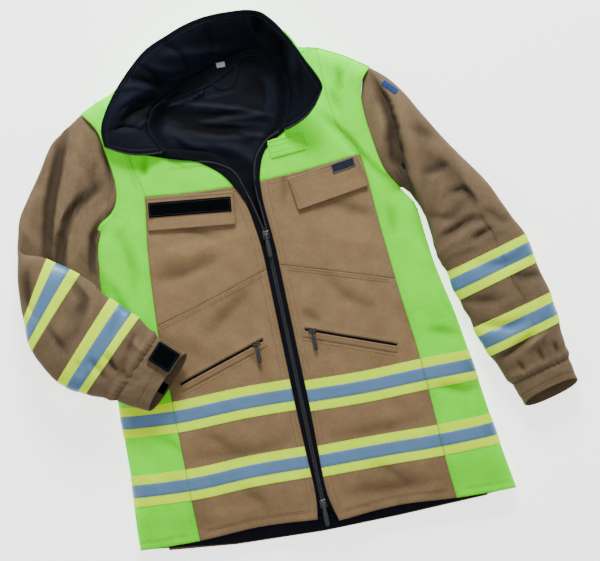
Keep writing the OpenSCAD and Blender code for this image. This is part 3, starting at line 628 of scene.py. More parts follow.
class Shader:
    def __init__(self, name, color, rough, **more):
        self.m = bpy.data.materials.new(name)
        self.m.use_nodes = True
        self.t = self.m.node_tree
        self.s = self.t.nodes["Principled BSDF"]
        self.s.inputs["Base Color"].default_value = (*color, 1)
        self.s.inputs["Roughness"].default_value = rough
        self.m.diffuse_color = (*color, 1)
        for k, v in more.items():
            self.s.inputs[k.replace("_", " ").title().replace("Ior", "IOR")].default_value = v
        self.uv = self.node("ShaderNodeTexCoord").outputs["UV"]
        self.height = None

    def node(self, kind, **sets):
        n = self.t.nodes.new(kind)
        for k, v in sets.items():
            setattr(n, k, v)
        return n

    def link(self, a, b):
        self.t.links.new(a, b)
        return self

    def scaled(self, x, y=None, turn=0.0):
        """UV is in units of 100 mm: x and y are features per 100 mm."""
        n = self.node("ShaderNodeMapping")
        n.inputs["Scale"].default_value = (x, y or x, x)
        n.inputs["Rotation"].default_value = (0, 0, turn)
        self.link(self.uv, n.inputs["Vector"])
        return n.outputs[0]

    def noise(self, x, y=None, detail=3.0, rough=0.55, turn=0.0):
        n = self.node("ShaderNodeTexNoise")
        n.inputs["Scale"].default_value = 1.0
        n.inputs["Detail"].default_value = detail
        n.inputs["Roughness"].default_value = rough
        self.link(self.scaled(x, y, turn), n.inputs["Vector"])
        return n.outputs["Fac"]

    def wave(self, per_100, turn=0.0, distort=0.0):
        n = self.node("ShaderNodeTexWave", wave_type="BANDS", bands_direction="X", wave_profile="SIN")
        n.inputs["Scale"].default_value = per_100 * 0.314159 / 2
        n.inputs["Distortion"].default_value = distort
        n.inputs["Detail"].default_value = 1.0
        n.inputs["Detail Scale"].default_value = 2.0
        self.link(self.scaled(1, 1, turn), n.inputs["Vector"])
        return n.outputs["Fac"]

    def cells(self, per_100):
        n = self.node("ShaderNodeTexVoronoi", feature="F1")
        n.inputs["Scale"].default_value = 1.0
        self.link(self.scaled(per_100), n.inputs["Vector"])
        return n.outputs["Distance"]

    def math(self, op, a, b):
        n = self.node("ShaderNodeMath", operation=op)
        for k, v in enumerate((a, b)):
            if isinstance(v, (int, float)):
                n.inputs[k].default_value = v
            else:
                self.link(v, n.inputs[k])
        return n.outputs[0]

    def ramp(self, fac, low, high):
        """0 where fac is low, 1 where it is high."""
        n = self.node("ShaderNodeMapRange")
        n.inputs["From Min"].default_value, n.inputs["From Max"].default_value = low, high
        self.link(fac, n.inputs["Value"])
        return n.outputs[0]

    def paint(self, dark, light, fac):
        """Mixes two colours by fac, then multiplies by the point attribute of painted shade and painted highlights."""
        n = self.node("ShaderNodeMix", data_type="RGBA", blend_type="MIX")
        n.inputs[6].default_value, n.inputs[7].default_value = (*dark, 1), (*light, 1)
        self.link(fac, n.inputs[0])
        a = self.node("ShaderNodeAttribute", attribute_name="tone", attribute_type="GEOMETRY")
        m = self.node("ShaderNodeMix", data_type="RGBA", blend_type="MULTIPLY")
        m.inputs[0].default_value = 1.0
        self.link(n.outputs[2], m.inputs[6]).link(a.outputs["Fac"], m.inputs[7])
        self.link(m.outputs[2], self.s.inputs["Base Color"])
        return m.outputs[2]

    def bump(self, fac, depth_mm):
        n = self.node("ShaderNodeBump")
        n.inputs["Strength"].default_value = 1.0
        n.inputs["Distance"].default_value = depth_mm * MM
        self.link(fac, n.inputs["Height"])
        if self.height is not None:
            self.link(self.height, n.inputs["Normal"])
        self.height = n.outputs[0]
        self.link(self.height, self.s.inputs["Normal"])
        return self


def woven(name, dark, light, rough=0.86, crinkle=0.5, twill=True, sheen=0.25, glow=0.0, gloss=0.28):
    s = Shader(name, light, rough, sheen_weight=sheen, sheen_roughness=0.45, specular_ior_level=gloss)
    patches = s.noise(3.2, 4.6, 4.0, 0.6)
    threads = s.noise(150, 14, 2.0, 0.5)
    cross = s.noise(14, 150, 2.0, 0.5)
    mixed = s.math("ADD", s.math("MULTIPLY", patches, 0.28),
                   s.math("MULTIPLY", s.math("ADD", threads, cross), 0.36))
    colour = s.paint(dark, light, s.ramp(mixed, 0.36, 0.64))
    if glow:
        s.link(colour, s.s.inputs["Emission Color"])
        s.s.inputs["Emission Strength"].default_value = glow
    s.bump(s.noise(26, 34, 4.0, 0.62), 0.5 * crinkle)
    if twill:
        s.bump(s.wave(118, math.radians(38), 0.6), 0.09)
    s.bump(s.math("MULTIPLY", s.wave(170, 0, 0.5), s.wave(170, math.pi / 2, 0.5)), 0.1)
    return s.m


def plain(name, color, rough, grain=60, depth=0.05, **more):
    s = Shader(name, color, rough, **more)
    s.bump(s.noise(grain, grain, 3.0, 0.6), depth)
    return s.m


TAN = woven("tan_twill", (0.170, 0.106, 0.048), (0.268, 0.174, 0.086), sheen=0.04)
# the sleeves, cuffs and cuff tabs use the same tan painted darker: painted shade
TAN_SLEEVE_SHADED = woven("tan_twill_sleeve_shaded", (0.100, 0.066, 0.034), (0.182, 0.124, 0.068), sheen=0.03)
LIME = woven("hi_vis_lime", (0.10, 0.82, 0.0), (0.17, 1.0, 0.0), twill=False, sheen=0.0, glow=0.12, gloss=0.03)
LINING = woven("black_lining", (0.0018, 0.0028, 0.0072), (0.0042, 0.0062, 0.0138),
                rough=0.66, sheen=0.0, twill=False, gloss=0.11)
YELLOW = woven("trim_yellow", (0.60, 0.95, 0.0), (0.70, 1.0, 0.0), rough=0.7, crinkle=0.2, twill=False, sheen=0.0,
               glow=0.12, gloss=0.03)


def silver():
    s = Shader("trim_silver", (0.17, 0.25, 0.37), 0.46, metallic=0.25, coat_weight=0.12, coat_roughness=0.3)
    s.paint((0.075, 0.175, 0.32), (0.10, 0.21, 0.37), s.ramp(s.noise(60, 90, 2.0), 0.3, 0.7))
    s.bump(s.cells(230), 0.05).bump(s.noise(14, 22, 2.0), 0.08)
    return s.m


def pile(name, dark, light):
    s = Shader(name, light, 0.95, sheen_weight=0.0, specular_ior_level=0.03)
    loops = s.cells(110)
    s.paint(light, dark, s.ramp(loops, 0.1, 0.6))
    s.bump(loops, 0.7).bump(s.noise(160, 160, 2.0), 0.4)
    return s.m


SILVER = silver()
PILE = pile("hook_and_loop_pile", (0.0006, 0.001, 0.0016), (0.0036, 0.0056, 0.0078))
PATCH = woven("dark_patch", (0.003, 0.0055, 0.013), (0.008, 0.013, 0.026), crinkle=0.2, twill=False)
PATCH_EDGE = plain("patch_border", (0.25, 0.24, 0.27), 0.7, 200, 0.2)
BLUE = woven("blue_patch", (0.003, 0.018, 0.10), (0.008, 0.045, 0.20), crinkle=0.2, twill=False)
LABEL = woven("label_white", (0.34, 0.42, 0.56), (0.55, 0.62, 0.72), crinkle=0.15, twill=False)
WEBBING = woven("black_webbing", (0.0025, 0.004, 0.007), (0.009, 0.012, 0.019), crinkle=0.2, sheen=0.0, gloss=0.1)
TAPE = woven("zip_tape_black", (0.0016, 0.0022, 0.004), (0.0055, 0.007, 0.011), crinkle=0.15, sheen=0.0, gloss=0.08)
TEETH = plain("moulded_teeth", (0.035, 0.038, 0.046), 0.34, 90, 0.02)
ENAMEL = plain("black_enamel", (0.014, 0.015, 0.018), 0.27, 40, 0.01, metallic=0.35, coat_weight=0.5)
RUBBER = plain("pull_rubber", (0.012, 0.013, 0.016), 0.55, 90, 0.03)
THREAD_TAN = plain("thread_tan", (0.15, 0.098, 0.05), 0.75, 200, 0.02)
THREAD_LIME = plain("thread_lime", (0.20, 0.66, 0.03), 0.7, 200, 0.02)
THREAD_YELLOW = plain("thread_yellow", (0.48, 0.78, 0.03), 0.7, 200, 0.02)
THREAD_DARK = plain("thread_dark", (0.010, 0.014, 0.024), 0.7, 200, 0.02)

# ---- body ---------------------------------------------------------------------------------

thread_tan, thread_lime, thread_yellow, thread_dark = Stitches(), Stitches(), Stitches(), Stitches()


SHELL_T, TRIM_T = 1.5, 0.5  # thickness of the shell cloth and of the reflective bands


def toned(f):
    """Painted light and shade: folds that stand up are painted lighter, and valleys painted darker."""
    return np.clip(1.0 + 0.085 * f, 0.36, 1.2)


def cloth(piece, poly, surface=front, t=SHELL_T, drop=0.7, lift=0.0, tones=None, **more):
    """Adds a plan polygon laid on a surface, with its edges turned down as at a seam, painted shade and highlights from
    its folds, and painted shade along its edges.
    """
    P, T, d = fill(poly, **more)
    z, f = surface(P[:, 0], P[:, 1])
    z = z + lift - drop * np.exp(-((d / 1.5) ** 2)) + 0.32 * np.exp(-d / 7) * noise(P[:, 0], P[:, 1], 9, seed=6)
    z = z - 0.35 * np.exp(-(((d - 8.6) / 1.6) ** 2)) * (drop > 0)
    # painted shade in the fold valleys and highlights on the ridges, and painted shade along the turned-down edges
    tone = (tones or toned)(f) * (1 - 0.22 * np.exp(-((d / 1.4) ** 2)))
    piece.sheet(np.column_stack([P, z]), T, t, tone=tone)
    return P, T


def back_pair(X, Y):
    return back(X, Y), 0 * X


def placed(origin, degrees, P):
    """Plan points turned by degrees and moved to origin."""
    a = math.radians(degrees)
    P = np.array(P, float)
    return np.column_stack([origin[0] + P[:, 0] * math.cos(a) - P[:, 1] * math.sin(a),
                            origin[1] + P[:, 0] * math.sin(a) + P[:, 1] * math.cos(a)])


POCKETS = {"right": ((-44, -68), 196.5), "left": ((33, -66), -21.5)}
WINDOW = 3.6


def window(side, grow=0.0):
    """The slot in the front panel that a hand pocket's zip shows through."""
    p, turn = POCKETS[side]
    w, a, b = WINDOW / 2 + grow, -3.5 - grow, 145.5 + grow
    return placed(p, turn, [[a, -w], [b, -w], [b + 0.6, 0], [b, w], [a, w], [a - 0.6, 0]])


FLAPS = {"right": ((-176, 194.5), -7.4, 140.0), "left": ((52, 177.5), 7.4, 118.0)}


def mouth(side):
    """The chest pocket's opening, under its flap."""
    p, turn, w = FLAPS[side]
    return placed(p, turn, [[10, -26], [w - 10, -26], [w - 10, -21.5], [10, -21.5]])


gap = 0.15
fronts = {
    "front_right_upper": (panel(shifted(SEAM_R, gap), EDGE_R, WAIST_R, YOKE_R), TAN, "shell_tan", [mouth("right")]),
    "front_left_upper": (panel(EDGE_L, shifted(SEAM_L, -gap), WAIST_L, YOKE_L), TAN, "shell_tan", [mouth("left")]),
    "front_right_lower": (panel(shifted(SEAM_R, gap), EDGE_R, HEM_R, WAIST_R), TAN, "shell_tan", [window("right")]),
    "front_left_lower": (panel(EDGE_L, shifted(SEAM_L, -gap), HEM_L, WAIST_L), TAN, "shell_tan", [window("left")]),
}
a, b = corner(SEAM_R, YOKE_R), corner(EDGE_R, YOKE_R)
fronts["front_right_yoke"] = (
    [a] + run(YOKE_R, a[0], b[0]) + [b] + rise(EDGE_R, b[1], 250) + NECK_R + rise(SEAM_R, a[1], 372)[::-1],
    LIME, "shell_lime", [])
a, b = corner(EDGE_L, YOKE_L), corner(SEAM_L, YOKE_L)
fronts["front_left_yoke"] = (
    [a] + run(YOKE_L, a[0], b[0]) + [b] + rise(SEAM_L, b[1], 372) + NECK_L + rise(EDGE_L, a[1], 250)[::-1],
    LIME, "shell_lime", [])


def across_pocket(side, X, Y):
    """Distance along the pocket and down from its zip."""
    (px, py), turn = POCKETS[side]
    a = math.radians(turn)
    u, v = (X - px) * math.cos(a) + (Y - py) * math.sin(a), -(X - px) * math.sin(a) + (Y - py) * math.cos(a)
    return u, v if side == "right" else -v


def welt_lines(name):
    for side in POCKETS:
        if name == "front_" + side + "_lower":
            p, turn = POCKETS[side]
            s = 1 if side == "right" else -1
            return [placed(p, turn, [[-8, s * y], [150, s * y]]) for y in (10.2, 11.0, 12.0, 12.8, 13.6, 14.6)]
    return ()


def welted(X, Y):
    """The front with the raised lips round the hand pockets."""
    z, f = front(X, Y)
    for side in POCKETS:
        d = distance(X, Y, looped(window(side)))[0]
        u, v = across_pocket(side, X, Y)
        z = z + 0.45 * np.exp(-(((d - 2.2) / 2.0) ** 2))
        z = z + 0.9 * smooth((12.6 - v) / 1.5) * smooth((v - 0.5) / 2) * smooth((u + 8) / 1.5) * smooth((150 - u) / 1.5)
        z = z - 0.5 * np.exp(-(((v - 13.4) / 1.2) ** 2)) * (u > -7) * (u < 150)
    return z, f


def welted_top(X, Y):
    return welted(X, Y)[0]


for name, (poly, mat, slot, holes) in fronts.items():
    p = Piece()
    cloth(p, poly, surface=welted if "lower" in name else front, holes=holes, lines=welt_lines(name))
    p.build("cloth_" + name, "coat", [mat], slot, [name])

hem, inner = corner(SIDE_R, HEM_R), corner(SEAM_R, HEM_R)
side_r = ([hem] + run(HEM_R, hem[0], inner[0]) + [inner] + rise(SEAM_R, inner[1], 372) + SHOULDER_R[::-1].tolist()
          + ARMHOLE_R[::-1].tolist() + rise(SIDE_R, hem[1], 150)[::-1])
hem, inner = corner(SIDE_L, HEM_L), corner(SEAM_L, HEM_L)
side_l = ([inner] + run(HEM_L, inner[0], hem[0]) + [hem] + rise(SIDE_L, hem[1], 122) + ARMHOLE_L.tolist()
          + SHOULDER_L.tolist() + rise(SEAM_L, inner[1], 372)[::-1])
for name, poly, up, s, end in (("side_panel_right", side_r, SIDE_R, 1, 150),
                               ("side_panel_left", side_l, SIDE_L, -1, 121)):
    p = Piece()
    cloth(p, poly, rows=(0.6, 2.2, 5.0, 9.4), step=4.8)
    edge = np.array(rise(up, -385, end))
    strip = np.vstack([edge + [1.5 * s, 0], (edge + [45 * s, 0])[::-1]])
    cloth(p, strip, surface=back_pair, rows=(0.6, 2.2, 5.0, 9.4), drop=0.0, step=6)
    p.build("cloth_" + name, "coat", [LIME], "shell_lime", [name])

back_poly = np.vstack([
    (np.array(rise(SIDE_R, -385, 150)) + [45.4, 0])[::-1],
    [[-258, -367], [-150, -380], [-8, -388], [115, -388.5], [262, -386]],
    np.array(rise(SIDE_L, -375, 122)) - [45.4, 0], [[183, 123]],
    [q for q in ARMHOLE_L - [3, 0] if q[1] < 198], [[195, 199]], [[-220, 199]],
    [q for q in (ARMHOLE_R + [4, 0])[::-1] if q[1] < 198], [[-221, 153]]])
p = Piece()
cloth(p, back_poly, surface=back_pair, step=8, rows=(1.5, 5), drop=0.0)
p.build("cloth_back_panel", "coat", [TAN], "shell_tan", ["back_panel"])
back_neck = curve([[-186, 374], [-150, 362], [-112, 352], [-77, 370], [-23, 391], [20, 401], [54, 397], [100, 386],
                   [141, 374]], 3)
yoke_poly = np.vstack([
    [[-220, 199.4]], [q for q in ARMHOLE_R + [3, 0] if q[1] > 202], back_neck, SHOULDER_L[::-1],
    [q for q in (ARMHOLE_L - [3, 0])[::-1] if q[1] > 202], [[194, 199.4]]])
p = Piece()
cloth(p, yoke_poly, surface=back_pair, step=6, rows=(0.8, 2.4, 5.4, 9.6), drop=0.0, lift=-0.7)


def stand(piece, path, foot, drop, highest=99.0):
    """A strip of cloth that stands on foot(x, y) and reaches up to the front."""
    q = even(curve(path, 6), 4.0)
    low = np.array([foot(x, y) for x, y in q]).reshape(-1)
    lean = np.linspace(0, 1, 7)[:, None]
    head = np.minimum(top(q[:, 0], q[:, 1]) - drop, highest)
    height = low + (head - low) * lean
    wall = np.stack([np.broadcast_to(axis, height.shape) for axis in (q[:, 0], q[:, 1], height)], 2)
    piece.grid(wall, 0.7, uv=np.stack([wall[..., 0], wall[..., 1] - wall[..., 2]], 2))


# the ends of the shoulder seams stand up beside the collar's foot
for path in ([[-200, 367], [-186, 372], [-172, 366], [-156, 352], [-140, 336]],
             [[158, 361], [141, 372.6], [124, 374], [106, 366], [90, 350]]):
    stand(p, path, lambda x, y: back(x, y) + 1.0, 1.0, 26.5)
p.build("cloth_back_yoke", "coat", [LIME], "shell_lime", ["back_yoke"])

# seams: double topstitching beside each seam, and rows round openings
for line, thread, sides in (
        (SEAM_R[:, ::-1][:-12], thread_lime, (3.0, 7.2)), (SEAM_L[:, ::-1][:-12], thread_lime, (-3.0, -7.2)),
        (run(YOKE_R, -177, -28), thread_tan, (-2.6, -7.0)), (run(YOKE_L, 10, 174), thread_tan, (-2.6, -7.0)),
        (run(WAIST_R, -201, -12), thread_tan, (-2.6, -6.8)), (run(WAIST_L, 12, 190), thread_tan, (-2.6, -6.8)),
        (run(HEM_R, -204, -16), thread_tan, (13, 16)), (run(HEM_L, 22, 210), thread_tan, (13, 16)),
        (run(HEM_R, -300, -208), thread_lime, (13, 16)), (run(HEM_L, 214, 304), thread_lime, (13, 16))):
    for d in sides:
        thread.over(offset(line, d))
for edge, s in ((EDGE_R, 1), (EDGE_L, -1)):
    tan_part = np.array(rise(edge, -366, 184))
    lime_part = np.array(rise(edge, 186, 246))
    for d in (4.6, 11.6):
        thread_tan.over(offset(tan_part, s * d))
        thread_lime.over(offset(lime_part, s * d))
for side in POCKETS:
    thread_tan.over(looped(window(side, 2.2)), surface=welted_top)
    s = 1 if side == "right" else -1
    for v in (10.4, 17.0):
        thread_tan.over(placed(*POCKETS[side], [[-6, s * v], [148, s * v]]), surface=welted_top)
for line, near, far in ((ARMHOLE_R, -5, (-32, -28)), (ARMHOLE_L, 5, (30, 34))):
    thread_lime.over(offset(line, near))
    for d in far:
        thread_lime.over(offset(line, d)[6:])

# ---- reflective trim ------------------------------------------------------------------------

STRIPES = ((0, (0.0, 0.7, 4.5, 9.5, 14.2, 15.7), 0.5), (1, (14.9, 15.5, 20, 25, 30, 34.5, 35.1), 0.85),
           (0, (34.3, 35.8, 40.5, 45.5, 49.3, 50.0), 0.5))


def band_grid(xs, tops, rows, lift, roll=None):
    """Rows of points across a band. roll is (side edge, sign) where it wraps round to the back."""
    out = []
    for v in rows:
        x = xs(v)
        y = at(tops, x) - v
        z = top(x, y)
        P = np.column_stack([x, y, z])
        if roll is not None:
            up, s = roll
            y0 = float(at(tops, at(up, y[-1]))) - v
            e = float(at(up, y0))
            a = np.radians(np.concatenate([np.arange(80, 0, -10), np.arange(0, -91, -10)]))
            rx = np.where(a > 0, e - s * ROLL_FRONT * (1 - np.cos(a)), e - s * 23 * (1 - np.cos(a)) + s * 0.3)
            ry = at(tops, rx) - v
            zt = top(rx, ry)
            rz = np.where(a > 0, zt, ROLL_Z + 13.2 * np.sin(a))
            extra = np.column_stack([rx, ry, rz])
            far = np.column_stack([e - s * np.array([ROLL_FRONT, 34.0, 42.0]), at(tops, rx[-3:]) - v, [0.75] * 3])
            P = np.vstack([P, extra, far])
        out.append(P)
    P = np.array(out)
    N = normals(P.reshape(-1, 3), grid_faces(*P.shape[:2])).reshape(P.shape)
    if N[0, 0, 2] < 0:
        N = -N
    P = P + N * lift
    P[:, :, 2] = np.maximum(P[:, :, 2], 0.25)
    for r in (0, -1):
        P[r] -= N[r] * 0.25
    return P


def trim(name, left, right, bands, roll):
    """The bands between two edges that run up the coat. roll is as in band_grid."""
    p = Piece()
    for tops in bands:

        def xs(v):
            y = float(at(tops, at(left, -190))) - v
            a, b = float(at(left, y)) + 0.7, float(at(right, y)) - 0.7
            if roll is not None:
                a, b = (float(at(left, y)) + 28.5, b) if roll[1] < 0 else (a, float(at(right, y)) - 28.5)
            x = np.linspace(a, b, max(6, int(abs(b - a) / 3.6)))
            return x if roll is None or roll[1] > 0 else x[::-1]

        n = len(xs(TRIM_WIDTH / 2))

        def fixed(v):
            q = xs(v)
            return np.interp(np.linspace(0, 1, n), np.linspace(0, 1, len(q)), q)

        for k, rows, lift in STRIPES:
            P = band_grid(fixed, tops, rows, lift, roll)
            N0 = np.cross(P[1, 0] - P[0, 0], P[0, 1] - P[0, 0])
            # painted shade and highlights on the bands from the folds of the front below them
            tone = np.broadcast_to(toned(front(P[..., 0], P[..., 1])[1] * 0.8), P.shape[:2])
            p.grid(P, TRIM_T, k, flip=N0[2] < 0, tone=tone)
            if k == 0:
                for r in (1, -2):
                    thread_yellow.line(P[r] + [0, 0, 0.12], FINE)
    p.build("cloth_" + name, "coat", [YELLOW, SILVER], "reflective_trim", [name])


RIGHT_BANDS, LEFT_BANDS = (BAND_UR, BAND_LR), (BAND_UL, BAND_LL)
trim("trim_front_right", SEAM_R, EDGE_R, RIGHT_BANDS, None)
trim("trim_front_left", EDGE_L, SEAM_L, LEFT_BANDS, None)
trim("trim_side_right", SIDE_R, SEAM_R, RIGHT_BANDS, (SIDE_R, -1))
trim("trim_side_left", SEAM_L, SIDE_L, LEFT_BANDS, (SIDE_L, 1))
p = Piece()
for tr, tl in zip(RIGHT_BANDS, LEFT_BANDS):
    for k, rows, lift in STRIPES:
        x = np.linspace(-240, 226, 60)
        w = smooth((x + 4) / 84)
        y0 = at(tr, np.minimum(x, -4)) * (1 - w) + at(tl, np.maximum(x, 80)) * w
        P = np.array([np.column_stack([x, y0 - v, 0 * x + 0.9 + 0.1 * noise(x, y0, 40, seed=9)]) for v in rows])
        P[..., 2] -= 0.25 * k
        p.grid(P, TRIM_T, k)
p.build("cloth_trim_back", "coat", [YELLOW, SILVER], "reflective_trim", ["trim_back"])

# ---- sleeves --------------------------------------------------------------------------------

LEFT_ARM = [[209, 322, 221, 126, 14, 11, 24], [221, 324, 233, 124, 16.4, 13.6, 24],
            [260, 281, 247, 101, 21, 19.5, 15],
            [306, 197, 257, 64, 24, 22.5, 4], [354, 122, 259, 32, 26, 24.5, 0], [388, 52, 262, 0, 27, 25.5, 0],
            [406, 12, 270, -22, 26, 24.5, 0], [416, -36, 281, -70, 26, 24.5, 0], [425, -88, 294, -118, 25, 23.5, 0],
            [430, -138, 310, -168, 24, 22.5, 0], [433, -170, 324, -196, 22, 20, 0],
            [434, -197, 337, -220, 20.5, 17.0, 0]]
LEFT_CUFF = [[432, -189, 334.5, -212, 20.5, 16.4, 0], [434, -197.5, 337, -220.5, 20.5, 16.6, 0],
             [437, -213, 342, -236, 20.5, 17.2, 0],
             [439, -224, 346, -246, 20.5, 16.8, 0], [441, -233, 349, -255, 20.5, 16.6, 0]]
RIGHT_ARM = [[-236, 346, -250, 158, 13, 10.5, -42], [-250, 348, -262, 152, 15.4, 12.8, -38],
             [-302, 314, -270, 124, 17.6, 16.2, -20], [-346, 256, -271, 95, 17.5, 16, -4],
             [-380, 205, -276, 58, 16.5, 15, 0],
             [-397, 150, -288, 16, 16.5, 15, 0], [-404, 90, -308, -8, 16.5, 15, 0],
             [-404, 40, -322, -30, 16.5, 15, 0],
             [-399, -20, -346, -45, 16.5, 15, 0]]
RIGHT_FOREARM = [[-382, 178, -397, 140, 34, 7, 0], [-386, 150, -404, 98, 47.5, 13.4, 0],
                 [-350, 131, -406, 44, 52.6, 18.5, 0],
                 [-304, 95, -403, -8, 54.6, 20.5, 0], [-264, 50, -374, -64, 54.6, 20.5, 0],
                 [-226, 8, -333, -92, 54.1, 20, 0], [-212, -12, -308, -104, 52.2, 18, 0],
                 [-203, -27, -289, -112, 51.2, 17, 0]]
RIGHT_CUFF = [[-209, -22, -294, -107, 51.4, 17.2, 0], [-202, -28, -288, -113, 51.2, 17, 0],
              [-188, -40, -270, -125, 51.2, 17.4, 0],
              [-176, -51, -255, -133, 51.2, 17.1, 0], [-164, -61, -241, -140, 51.2, 17, 0]]
LEFT_ARM_FOLDS = [
    (-11.0, 7, 0.7, [[222, 308], [238, 257], [241, 204], [241, 151], [249, 93]]),
    (2.4, 9, 0.0, [[236, 300], [252, 257], [254, 204], [255, 160]]),
    (-4.5, 7, 0, [[229, 214], [226, 173], [242, 152]]), (2.2, 8, 0, [[221, 264], [209, 188]]),
    (-3.2, 11, 0, [[262, 216], [300, 190]]), (-2.6, 12, 0.2, [[276, 170], [318, 120], [330, 70]]),
    (-4.5, 5, 0.3, [[300, 102], [326, 103], [340, 74]]), (-4.0, 6, 0, [[268, 139], [310, 148]]),
    (-4.2, 7, 0.2, [[272, 34], [323, 52], [350, 48]]), (-3.6, 6, 0, [[321, 18], [356, 34]]),
    (-3.0, 7, 0, [[262, 70], [296, 62], [318, 84]]), (-2.6, 7, 0, [[346, 66], [376, 40], [392, 44]]),
    (-3.4, 7, 0.2, [[374, -52], [428, -58]]), (-3.2, 8, 0, [[284, -76], [346, -82]]),
    (-2.6, 8, 0, [[330, -24], [372, -30], [404, -14]]), (-3.4, 8, 0, [[300, -112], [348, -128], [380, -120]]),
    (-4.2, 6, 0.3, [[318, -175], [353, -162], [388, -146]]), (2.6, 6, 0, [[372, -167], [406, -149]]),
    (-3.0, 4, 0, [[352, -186], [360, -206]]), (-2.8, 4, 0, [[388, -172], [393, -196]]),
    (-2.6, 4, 0, [[414, -166], [418, -190]]),
    (-1.5, 2.0, 0, [[317, 168], [324, 111], [340, 62], [358, 6], [369, -49], [382, -93], [395, -156], [399, -190]]),
]
RIGHT_ARM_FOLDS = [
    (3.4, 9, 0, [[-254, 322], [-281, 257], [-320, 194], [-341, 138]]),
    (-7.6, -9.5, 0.1, [[-276, 338], [-300, 282], [-328, 212], [-350, 130], [-354, 100]]),
    (2.0, 9, 0, [[-297, 317], [-329, 268], [-362, 215], [-375, 178]]),
    (-7.4, -8.5, 0.2, [[-246, 224], [-288, 202], [-316, 166], [-334, 110], [-338, 80]]),
    (4.2, 9, -0.3, [[-240, 192], [-274, 184], [-302, 154], [-318, 112]]),
    (-5.6, -6, 0, [[-259, 168], [-272, 148], [-282, 112], [-286, 84]]),
    (-4.0, 5, 0.4, [[-227, 316], [-224, 254], [-227, 208]]), (-3.0, 7, 0, [[-244, 268], [-254, 236], [-250, 214]]),
    (-3.0, 7, 0, [[-318, 290], [-346, 240]]), (-2.6, 6, 0, [[-272, 300], [-262, 262]]),
]
FOREARM_FOLDS = [
    (-3.2, -8, 0.2, [[-322, 90], [-303, 54], [-318, 30]]), (2.2, 9, 0, [[-338, 34], [-358, 2]]),
    (-3.0, 7, 0.2, [[-366, 20], [-349, -24]]), (-4.8, 5, 0.3, [[-288, -38], [-276, -68]]),
    (2.4, 7, 0, [[-244, -18], [-229, -50]]), (-4.0, 7, 0, [[-384, 118], [-392, 70], [-384, 36]]),
    (-2.2, 7, 0, [[-300, 62], [-316, 18], [-344, -10]]), (-3.4, 6, 0, [[-252, 20], [-272, -14]]),
    (-3.6, 6, 0.2, [[-312, -40], [-296, -78]]), (-3.2, 5, 0, [[-236, -14], [-252, -44]]),
    (-3.0, 5, 0, [[-268, -66], [-262, -90]]),
    (-3.0, 5, 0, [[-340, -62], [-330, -40]]),
]


PER = 11  # rings of a sleeve between two stations


def ring_points(st, n):
    """n points round each station: [outer x, y, inner x, y, centre z, half height, bulge]."""
    t = np.arange(n) / n * 2 * math.pi
    o, i = st[:, 0:2], st[:, 2:4]
    c, h = (o + i) / 2, np.linalg.norm(o - i, axis=1) / 2
    u = (o - i) / (2 * h[:, None])
    d = np.stack([u[:, 1], -u[:, 0]], 1)
    x = np.sign(np.cos(t)) * np.abs(np.cos(t)) ** 0.82
    y = np.sign(np.sin(t)) * np.abs(np.sin(t)) ** 0.95
    plan = (c[:, None] + u[:, None] * (h[:, None] * x)[..., None]
            - d[:, None] * (st[:, 6:7] * (1 - x**2))[..., None])
    z = st[:, 4:5] + st[:, 5:6] * y
    return np.concatenate([plan, z[..., None]], 2), t, u


def outward(P):
    """Ring grid normals that point out of the tube, and whether the faces need turning over."""
    m, n = P.shape[:2]
    N = normals(P.reshape(-1, 3), grid_faces(m, n, True)).reshape(P.shape)
    flip = float(np.sum(N * (P - P.mean(1, keepdims=True)))) < 0
    return (-N if flip else N), flip


def sleeve(stations, table, seed, low=1.0, flare=1.6):
    """A sleeve's outer skin with its folds, its painted shade and highlights, and the distance of each ring along it.
    """
    P, t, u = ring_points(curve(stations, PER), 150)
    c = P.mean(1, keepdims=True)
    s = np.concatenate([[0], np.cumsum(np.linalg.norm(np.diff(c[:, 0], axis=0), axis=1))])
    N, _ = outward(P)
    wt = np.clip(np.sin(t), 0, 1) ** 0.55
    wb = np.clip(-np.sin(t), 0, 1) ** 0.55
    X, Y = P[..., 0], P[..., 1]
    f = 1.75 * folds(X, Y, table)
    across = (P[..., :2] - c[..., :2]) @ np.array([1.0, 0.3])
    run_along = s[:, None] + 0 * X
    f = f + 1.3 * noise(run_along, across, 38, 60, seed) + 1.0 * noise(run_along, across, 16, 34, seed + 1)
    f = f + 0.2 * noise(X, Y, 9, 12, seed + 2)
    edge = np.minimum(s, s[-1] - s)
    calm = smooth(edge / 16)[:, None]
    f = f * (0.25 + 0.75 * calm)
    P[..., 2] += wt * f + low * wb * 0.7 * (noise(X, Y, 33, 41, seed + 3) + 1)
    # the silhouette wanders a little where the cloth folds
    side = np.sign(np.cos(t)) * np.abs(np.cos(t)) ** 3
    outer, inner = noise(s, 0 * s, 31, seed=seed + 4), noise(s, 0 * s + 50, 27, seed=seed + 5)
    wander = np.where(np.cos(t) > 0, outer[:, None], inner[:, None])
    P[..., :2] += (u[:, None, :] * (side * wander * 2.4 * calm)[..., None])
    # gathered into the cuff
    end = s[-1] - s
    gather = np.exp(-end / 9)[:, None] * np.sin(t * 34 + 2.0 * noise(t * 20, 0 * t, 9, seed=seed)) * 0.75
    puff = (1.6 * flare * np.exp(-(((end - 9) / 6.5) ** 2)) - 0.4 * np.exp(-((end / 2.0) ** 2)))[:, None]
    P = P + N * (gather + puff)[..., None]
    # painted shade and highlights from the folds, and painted shade where the sleeve runs into the cuff
    tone = toned(f * wt) * (1 - 0.25 * np.exp(-((end / 2.2) ** 2)))[:, None] * np.ones(P.shape[:2])
    return P, tone, s


def half(P, first, last):
    """The columns of a ring grid from first to last, going on past the seam."""
    n = P.shape[1]
    return P[:, np.arange(first, last + 1) % n]


